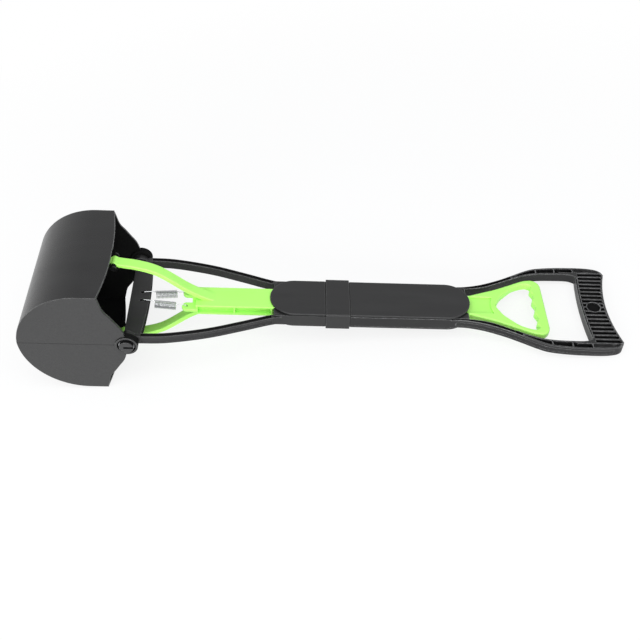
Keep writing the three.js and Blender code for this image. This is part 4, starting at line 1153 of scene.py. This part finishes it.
def sideGroove(end, side):
    places = alongGrip(gripLook["grooveStart"], gripLook["grooveEnd"], 30)
    outer = [(x, readOff(gripOuter, x) - gripLook["grooveRim"]) for x in places]
    inner = [(x, readOff(gripInner, x) + gripLook["grooveRim"]) for x in places]
    return pocketTool(facing(outer + inner[::-1], end), side, gripLook["grooveDepth"])


def edgeLine(side):  # a thin line beside the inner edge of the grip's bar
    reach = gripInner[-1][1] - past
    near = [(bowed(gripInner[-1], gripLook["innerBow"], y) + gripLook["lineIn"], y)
            for y in evenly(reach, -reach, 30)]
    far = [(x + gripLook["lineWidth"], y) for x, y in near]
    return pocketTool(near + far[::-1], side, gripLook["lineDepth"])


def sideChannel(end):  # shallow and wide, along the outer side of the grip
    places = alongGrip(gripLook["grooveStart"], gripLook["channelEnd"], 40)
    low = [(x, end * (readOff(gripOuter, x) - gripLook["channelDepth"])) for x in places]
    high = [(x, end * (readOff(gripOuter, x) + past)) for x in places]
    return slab(low + high[::-1], -gripLook["channelHalf"], gripLook["channelHalf"])


def handleFrame():
    loop = gripOuter + bowedEdge(gripOuter[-1], gripLook["outerBow"]) + flipped(gripOuter)[::-1]
    hole = flipped(gripInner) + bowedEdge(gripInner[-1], gripLook["innerBow"])[::-1] + gripInner[::-1]
    height = gripLook["halfHeight"]
    body = slab(loop, -height, height)
    soften(body, gripLook["round"], 4, atHeight(height, lambda spot: spot.x > bodyLook["endX"] + 0.5))
    window = [(bodyLook["endX"] - past, -wallInner)] + hole + [(bodyLook["endX"] - past, wallInner)]
    carve(body, through(window, -height, height, gripLook["windowRound"], steps=3))
    splice, overlap = bodyLook["spliceX"], bodyLook["lap"]
    for end in (-1, 1):
        weld(body, wallPieces(splice + overlap, bodyLook["endX"], end,
                              [x for x in bodyLook["guides"] if x > splice],
                              [x for x in bodyLook["screws"] if x > splice]))
        weld(body, lapPiece(end, splice - overlap + gap, splice + overlap + 0.5, True))
        mouth = bodyLook["shoulder"][1]
        weld(body, shoulder(end, *bodyLook["shoulder"], lambda spot: spot.x > mouth - close))
    for side in (-1, 1):
        carve(body, gripPockets(side))
        well = ring(discX, 0, gripLook["discRadius"], 48)
        carve(body, pocketTool(well, side, gripLook["discDepth"]), edgeLine(side))
        for end in (-1, 1):
            carve(body, sidePockets(end, side), sideGroove(end, side))
    carve(body, sideChannel(-1), sideChannel(1))
    deep = height - gripLook["discDepth"] + 0.02
    for face in body.data.polygons:  # the floors of all pockets are matt and painted darker, as shade
        level = abs(face.normal.z) > 0.9 and abs(face.center.z) < deep
        if level and face.center.x > bodyLook["endX"] + past:
            face.material_index = 1
    return body


finish(handleFrame(), "grip_half", "frame", gripPlastic, ["handle_frame"], mattPaintedShadePlastic)
print("grip made")


# slider with its trigger, two arms and two spring ears

sliderLook = {
    "halfWidth": 14, "halfHeight": 6, "flange": 1.9, "web": 5, "coreHalfWidth": 9.6,
    "startX": 63, "endX": 327, "rib": 1.8, "ribPitch": 37.8, "ribStartX": 102, "rootLength": 2.1,
    "recess": 0.4, "round": 0.6, "endRound": 0.4, "rootInset": 0.2, "ribSink": 0.5,
}
triggerLook = {
    "startX": 343.8, "rearX": 422, "halfHeight": 4.3, "halfWidth": 40, "round": 2.1, "holeRound": 1.5,
    "footX": 322, "footHalfWidth": 8, "footEndX": 340.4,
    "shares": [(0, 0), (0.164, 0.18), (0.352, 0.385), (0.545, 0.646), (0.742, 0.925), (0.84, 1),
               (0.92, 0.985), (0.981, 0.815), (1, 0.62)],
    "holeApexX": 371, "holeEndX": 411.4, "holeHalfWidth": 33.5, "cornerShare": 0.88,
    "holeShares": [(0, 0.05), (0.07, 0.22), (0.16, 0.41), (0.27, 0.55), (0.5, 0.815), (0.72, 0.95),
                   (0.88, 1), (0.97, 0.97)],
    "ridgeX": 410.0, "ridgePitch": 16.5, "ridges": 4, "grooveDepth": 2.5, "cornerRound": 1.6,
    "holeCorner": (1, 1), "lastRidge": (0.6, 1.2), "outlineRound": 1.2,
    "neckStartX": 326, "neckHalfWidth": 11.6, "neckDepth": 2.0, "neckEndX": 367.6, "neckBow": 2.4,
    "neckFlare": 1.1, "neckRound": 2.2,
}
armLook = {
    "halfWidth": 6, "thickness": 4, "rootThickness": 5.6, "rootX": 82, "rootZ": 3.2, "tipDrop": 0.8,
    "shares": [(0, 0), (0.12, 0.023), (0.25, 0.076), (0.38, 0.168), (0.496, 0.314), (0.692, 0.645),
               (0.793, 0.79), (0.92, 0.94), (1, 1)],
    "eyeWall": 1.5, "eyeStep": 0.1, "tipX": -19.3, "tipCorner": 3, "round": 1.2, "swellShare": 0.1,
    "gussetRound": 0.6,
}
earLook = {"x": 54, "y": 10, "radius": 5.2, "halfHeight": 1.8, "round": 0.6}


def sliderBar():
    half, height = sliderLook["halfWidth"], sliderLook["halfHeight"]
    flange, web = height - sliderLook["flange"], sliderLook["coreHalfWidth"]
    section = rounded([
        (-half, -height), (half, -height), (half, -flange), (web, -flange), (web, flange),
        (half, flange), (half, height), (-half, height), (-half, flange), (-web, flange),
        (-web, -flange), (-half, -flange),
    ], sliderLook["round"], 4)
    start, end = sliderLook["startX"], sliderLook["endX"]
    bar = slab(section, start, end, "along")
    soften(bar, sliderLook["endRound"], 2, lambda spot: spot.x < start + close)
    wide, tall = half - sliderLook["recess"], flange + sliderLook["ribSink"]
    runs = [(start + sliderLook["rootInset"], start + sliderLook["rootLength"])]  # the root, then the ribs
    x, halfRib = sliderLook["ribStartX"], sliderLook["rib"] / 2
    while x < end:
        runs.append((x - halfRib, x + halfRib))
        x += sliderLook["ribPitch"]
    return weld(bar, *[slab(rectangle(*run, -wide, wide), -tall, tall) for run in runs])


def fingerHole():  # its rear edge has a groove for each finger
    apex, end = triggerLook["holeApexX"], triggerLook["holeEndX"]
    half = spline([(apex + (end - apex) * x, triggerLook["holeHalfWidth"] * y)
                   for x, y in triggerLook["holeShares"]], 40)
    corner = triggerLook["holeHalfWidth"] * triggerLook["cornerShare"]
    pitch, ridgeX = triggerLook["ridgePitch"], triggerLook["ridgeX"]
    reach = pitch * (triggerLook["ridges"] - 1) / 2
    wave = [(ridgeX + triggerLook["grooveDepth"] * (1 - math.cos(2 * math.pi * (reach - y) / pitch)) / 2, y)
            for y in evenly(reach, -reach, 14 * (triggerLook["ridges"] - 1))]
    (cornerX, cornerY), (lastX, lastY) = triggerLook["holeCorner"], triggerLook["lastRidge"]
    turns = [(end + cornerX, corner + cornerY), (ridgeX + lastX, reach + lastY)]
    side = rounded(half + turns, triggerLook["cornerRound"], 4, 30)
    side = [spot for spot in side if spot != side[-1]] + [side[-1]]  # its last spot only once
    return side + wave + flipped(side)[::-1]


def trigger():
    start, rear = triggerLook["startX"], triggerLook["rearX"]
    base = sliderLook["halfWidth"]
    half = spline([(start + (rear - start) * x, base + (triggerLook["halfWidth"] - base) * y)
                   for x, y in triggerLook["shares"]], 48)
    foot, footEnd, footHalf = triggerLook["footX"], triggerLook["footEndX"], triggerLook["footHalfWidth"]
    half = [(foot, footHalf), (footEnd, footHalf), (footEnd, base)] + half
    outline = half + flipped(half)[::-1]
    height = triggerLook["halfHeight"]
    block = slab(rounded(outline, triggerLook["outlineRound"], 4, 24), -height, height)
    return soften(block, triggerLook["round"], 5, atHeight(height, lambda spot: spot.x > foot + 0.5))


def neckRecess(side):
    start, end, half = triggerLook["neckStartX"], triggerLook["neckEndX"], triggerLook["neckHalfWidth"]
    edge = [(end - triggerLook["neckBow"] * (1 - share ** 2), share * half) for share in evenly(-1, 1, 12)]
    points = rounded([(start, half), (start, -half)] + edge, triggerLook["neckRound"], 5, 40)
    height = triggerLook["halfHeight"]
    return pocket(points, height - triggerLook["neckDepth"], height, triggerLook["neckFlare"], side, 4)


def armSpot(x, z):  # from shares of the arm's run to its place
    tipX, tipZ = linkLook["pinX"], linkPinZ - armLook["tipDrop"]
    return (tipX + (armLook["rootX"] - tipX) * x, tipZ + (armLook["rootZ"] - tipZ) * z)


def arm(side):
    centre = spline([armSpot(x, z) for x, z in armLook["shares"]], 60)
    swell = armLook["rootThickness"] - armLook["thickness"]
    eyeRadius = linkLook["pinRadius"] + gap + armLook["eyeWall"]

    def halfThick(share):  # the arm swells into its eye
        near = max(0, 1 - share / armLook["swellShare"])
        plain = (armLook["thickness"] + swell * share) / 2
        return plain + (eyeRadius - armLook["eyeStep"] - plain) * near * near * (3 - 2 * near)

    over = beside(centre, halfThick)
    under = beside(centre, lambda share: halfThick(share) - armLook["thickness"] - swell * share)
    tipX, half, pin = armLook["tipX"], armLook["halfWidth"], (linkLook["pinX"], side * linkPinZ)
    outline = [(tipX, under[0][1]), (tipX, over[0][1])] + over + under[::-1]
    bar = slab([(x, side * z) for x, z in outline], -half, half, "across")
    soften(bar, armLook["round"], 4, lambda spot: abs(spot.y) > half - close)
    weld(bar, disc(eyeRadius, -half, half, *pin, "across", armLook["round"], armLook["round"]))
    tools = []
    tall = jawTop + past
    for end in (-1, 1):  # the tip's corners are round
        corner = armLook["tipCorner"]
        curve = arc(tipX + corner, end * (half - corner), corner, math.pi, math.pi - end * quarter, 12)
        tools.append(slab(curve + [(tipX - past, end * (half + past))], -tall, tall))
    hole = ring(*pin, linkLook["pinRadius"] + gap, 32)
    return carve(bar, *tools, through(hole, -half, half, edgeRound, "across", steps=2))


def armGusset():
    pinX, rootX, rootZ = linkLook["pinX"], armLook["rootX"], armLook["rootZ"]
    share = (earLook["x"] + earLook["radius"] - pinX) / (rootX - pinX)
    frontX, frontZ = armSpot(share, readOff(armLook["shares"], share))
    points = [(frontX, frontZ), (frontX, -frontZ), (rootX, -rootZ), (rootX, rootZ)]
    web = slab(points, -sliderLook["web"] / 2, sliderLook["web"] / 2, "across")
    return soften(web, armLook["gussetRound"], 3, lambda spot: spot.x < frontX + close)


def springEar(end):
    x, y, radius = earLook["x"], end * earLook["y"], earLook["radius"]
    back = sliderLook["startX"] + past
    outer = arc(x, y, radius, end * quarter, end * 3 * quarter, 24)
    points = outer + [(x + radius, y - end * radius), (x + radius, 0), (back, 0), (back, y + end * radius)]
    height = earLook["halfHeight"]
    ear = slab(points, -height, height)
    return soften(ear, earLook["round"], 3, atHeight(height, lambda spot: abs(spot.y) > 0.1))


def pullSlider():
    body = sliderBar()
    weld(body, trigger(), arm(1), arm(-1), armGusset(), springEar(1), springEar(-1))
    height = triggerLook["halfHeight"]
    carve(body, through(fingerHole(), -height, height, triggerLook["holeRound"], steps=4))
    for side in (-1, 1):
        carve(body, neckRecess(side))
    for end in (-1, 1):
        hole = ring(earLook["x"], end * earLook["y"], forkLook["hookHole"], 20)
        carve(body, through(hole, -earLook["halfHeight"], earLook["halfHeight"], edgeRound, steps=2))
    return body


finish(pullSlider(), "slider_moulding", "slider", limePlastic, ["pull_slider"])
print("slider made")


# springs

springLook = {
    "wire": 0.85, "radius": 3.8, "turns": 16, "pitch": 1.36, "perTurn": 20, "lead": 12.2,
    "hookDrop": 3.6, "bend": 1.2, "sides": 3,
    "stiffFront": 9, "stiffRear": 10,  # its straight ends, which don't stretch
}


def springRoute(end):
    start = Vector((forkLook["hookX"], end * forkLook["hookY"], 0))
    stop = Vector((earLook["x"], end * earLook["y"], 0))
    along = (stop - start).normalized()
    aside = Vector((0, 0, 1)).cross(along)
    length = (stop - start).length

    def spot(distance, height):
        point = start + along * distance
        point.z = height
        return point

    bend, lead = springLook["bend"], springLook["lead"]
    overBar = forkLook["barHalfHeight"] + springLook["wire"] / 2 + gap
    overEar = earLook["halfHeight"] + springLook["wire"] / 2 + gap
    route = [spot(0, overBar - springLook["hookDrop"]), spot(0, overBar - bend),
             spot(bend * 0.3, overBar - bend * 0.3), spot(bend, overBar),
             spot(bend * 2, overBar), spot(lead - bend * 2, overBar)]
    for i in range(springLook["turns"] * springLook["perTurn"] + 1):
        turn = i / springLook["perTurn"]
        angle = 2 * math.pi * turn
        point = spot(lead + turn * springLook["pitch"], 0) + aside * springLook["radius"] * math.sin(angle)
        point.z = springLook["radius"] * math.cos(angle)
        route.append(point)
    coilEnd = lead + springLook["turns"] * springLook["pitch"]
    route += [spot(coilEnd + bend * 2, overEar), spot(length - bend * 2, overEar),
              spot(length - bend, overEar), spot(length - bend * 0.3, overEar - bend * 0.3),
              spot(length, overEar - bend), spot(length, overEar - springLook["hookDrop"])]
    return route


def spring(end):
    deselect()
    bpy.ops.curve.primitive_nurbs_path_add()
    wire = bpy.context.object
    data = wire.data
    data.splines.clear()
    route = springRoute(end)
    line = data.splines.new("POLY")
    line.points.add(len(route) - 1)
    for point, place in zip(line.points, route):
        point.co = (*place, 1)
    data.dimensions = "3D"
    data.bevel_depth = springLook["wire"] / 2
    data.bevel_resolution = springLook["sides"]
    data.use_fill_caps = True
    pick(wire)
    bpy.ops.object.convert(target="MESH")
    return outwards(bpy.context.object)


for place, end in (("near", -1), ("far", 1)):
    piece = finish(spring(end), place + "_spring_wire", None, steelWire, [place + "_spring"])
    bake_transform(piece)
print("springs made")


# small hardware that stays as it is in the frame

for name, node in frame["nodes"].items():
    if "screw" in name or "washer" in name or "link_" in name:
        node.data.materials.clear()
        node.data.materials.append(blackenedSteel if "link_" in name else steelWire)


# stage, light and camera

stageLook = {
    "floorSize": 8.0, "floorDrop": 0.0002, "floorColour": (0.9, 0.9, 0.9),
    "shadowLeft": 0.18, "shadowStart": 0.3, "shadowEnd": 0.75,  # the shadow fades out between two distances
}


def seenRay(add):  # rays from the camera, from a reflection or through glass
    path = add("LightPath")
    seen = path.outputs["Is Camera Ray"]
    for kind in ("Is Glossy Ray", "Is Transmission Ray"):
        seen = add("Math", {"operation": "MAXIMUM"}, i0=seen, i1=path.outputs[kind]).outputs[0]
    return seen


def mixedOutput(add, share, first, second, kind):
    mixed = add("MixShader", i0=share, i1=first.outputs[0], i2=second.outputs[0])
    add(kind, i0=mixed.outputs[0])


def floorMaterial():
    material = bpy.data.materials.new("paleFloor")
    material.use_nodes = True
    material.node_tree.nodes.clear()
    add = nodeAdder(material.node_tree)
    matte = add("BsdfDiffuse", Color=(*stageLook["floorColour"], 1))
    white = add("Emission", Color=(1, 1, 1, 1), Strength=1.0)
    away = add("VectorMath", {"operation": "LENGTH"}, i0=add("TexCoord").outputs["Object"])
    bare = add("MapRange", i0=away.outputs["Value"], i1=stageLook["shadowStart"],
               i2=stageLook["shadowEnd"], i3=1 - stageLook["shadowLeft"], i4=1.0)
    mixedOutput(add, times(add, seenRay(add), bare.outputs[0]), matte, white, "OutputMaterial")
    return material


deselect()
bpy.ops.mesh.primitive_plane_add(size=stageLook["floorSize"], location=(0, 0, -stageLook["floorDrop"]))
floor = bpy.context.object
floor.name = "pale_floor"
floor.data.materials.append(floorMaterial())

worldLook = {"room": (0.93, 0.96, 1.0, 1), "roomStrength": 0.55}
world = bpy.data.worlds.new("studioRoom")
bpy.context.scene.world = world
world.use_nodes = True
world.node_tree.nodes.clear()
add = nodeAdder(world.node_tree)
roomLight = add("Background", Color=worldLook["room"], Strength=worldLook["roomStrength"])
whiteRoom = add("Background", Color=(1, 1, 1, 1), Strength=1.0)
mixedOutput(add, seenRay(add), roomLight, whiteRoom, "OutputWorld")

lampLook = {
    "overhead": {"place": (0.0, -0.75, 1.6), "aim": (0, 0, 0), "size": (2.4, 1.0), "power": 19},
    "front": {"place": (-0.2, -1.7, 0.55), "aim": (0, 0, 0.03), "size": (2.0, 0.9), "power": 27},
    "left": {"place": (-1.6, 0.35, 0.55), "aim": (-0.1, 0, 0.05), "size": (0.8, 0.9), "power": 2.5},
}
for name, look in lampLook.items():
    deselect()
    bpy.ops.object.light_add(type="AREA", location=look["place"])
    lamp = bpy.context.object
    lamp.name = name + "_softbox"
    lamp.data.shape = "RECTANGLE"
    lamp.data.size, lamp.data.size_y = look["size"]
    lamp.data.energy = look["power"]
    away = Vector(look["aim"]) - Vector(look["place"])
    lamp.rotation_euler = away.to_track_quat("-Z", "Y").to_euler()

cameraLook = {
    "place": (0.03264, -0.74102, 0.74532), "right": (0.99793, -0.01046, -0.06347),
    "back": (0.03717, -0.71172, 0.70148), "lens": 56.07, "sensor": 36.0,
}
deselect()
bpy.ops.object.camera_add(location=cameraLook["place"])
camera = bpy.context.object
backward = Vector(cameraLook["back"]).normalized()
rightward = Vector(cameraLook["right"])
rightward = (rightward - backward * backward.dot(rightward)).normalized()
upward = backward.cross(rightward)
turn = Matrix((rightward, upward, backward)).transposed()
camera.rotation_euler = turn.to_euler()
camera.data.lens = cameraLook["lens"]
camera.data.sensor_width = cameraLook["sensor"]
camera.data.clip_end = 50
bpy.context.scene.camera = camera
bpy.context.scene.view_settings.view_transform = "Standard"
print("stage set")
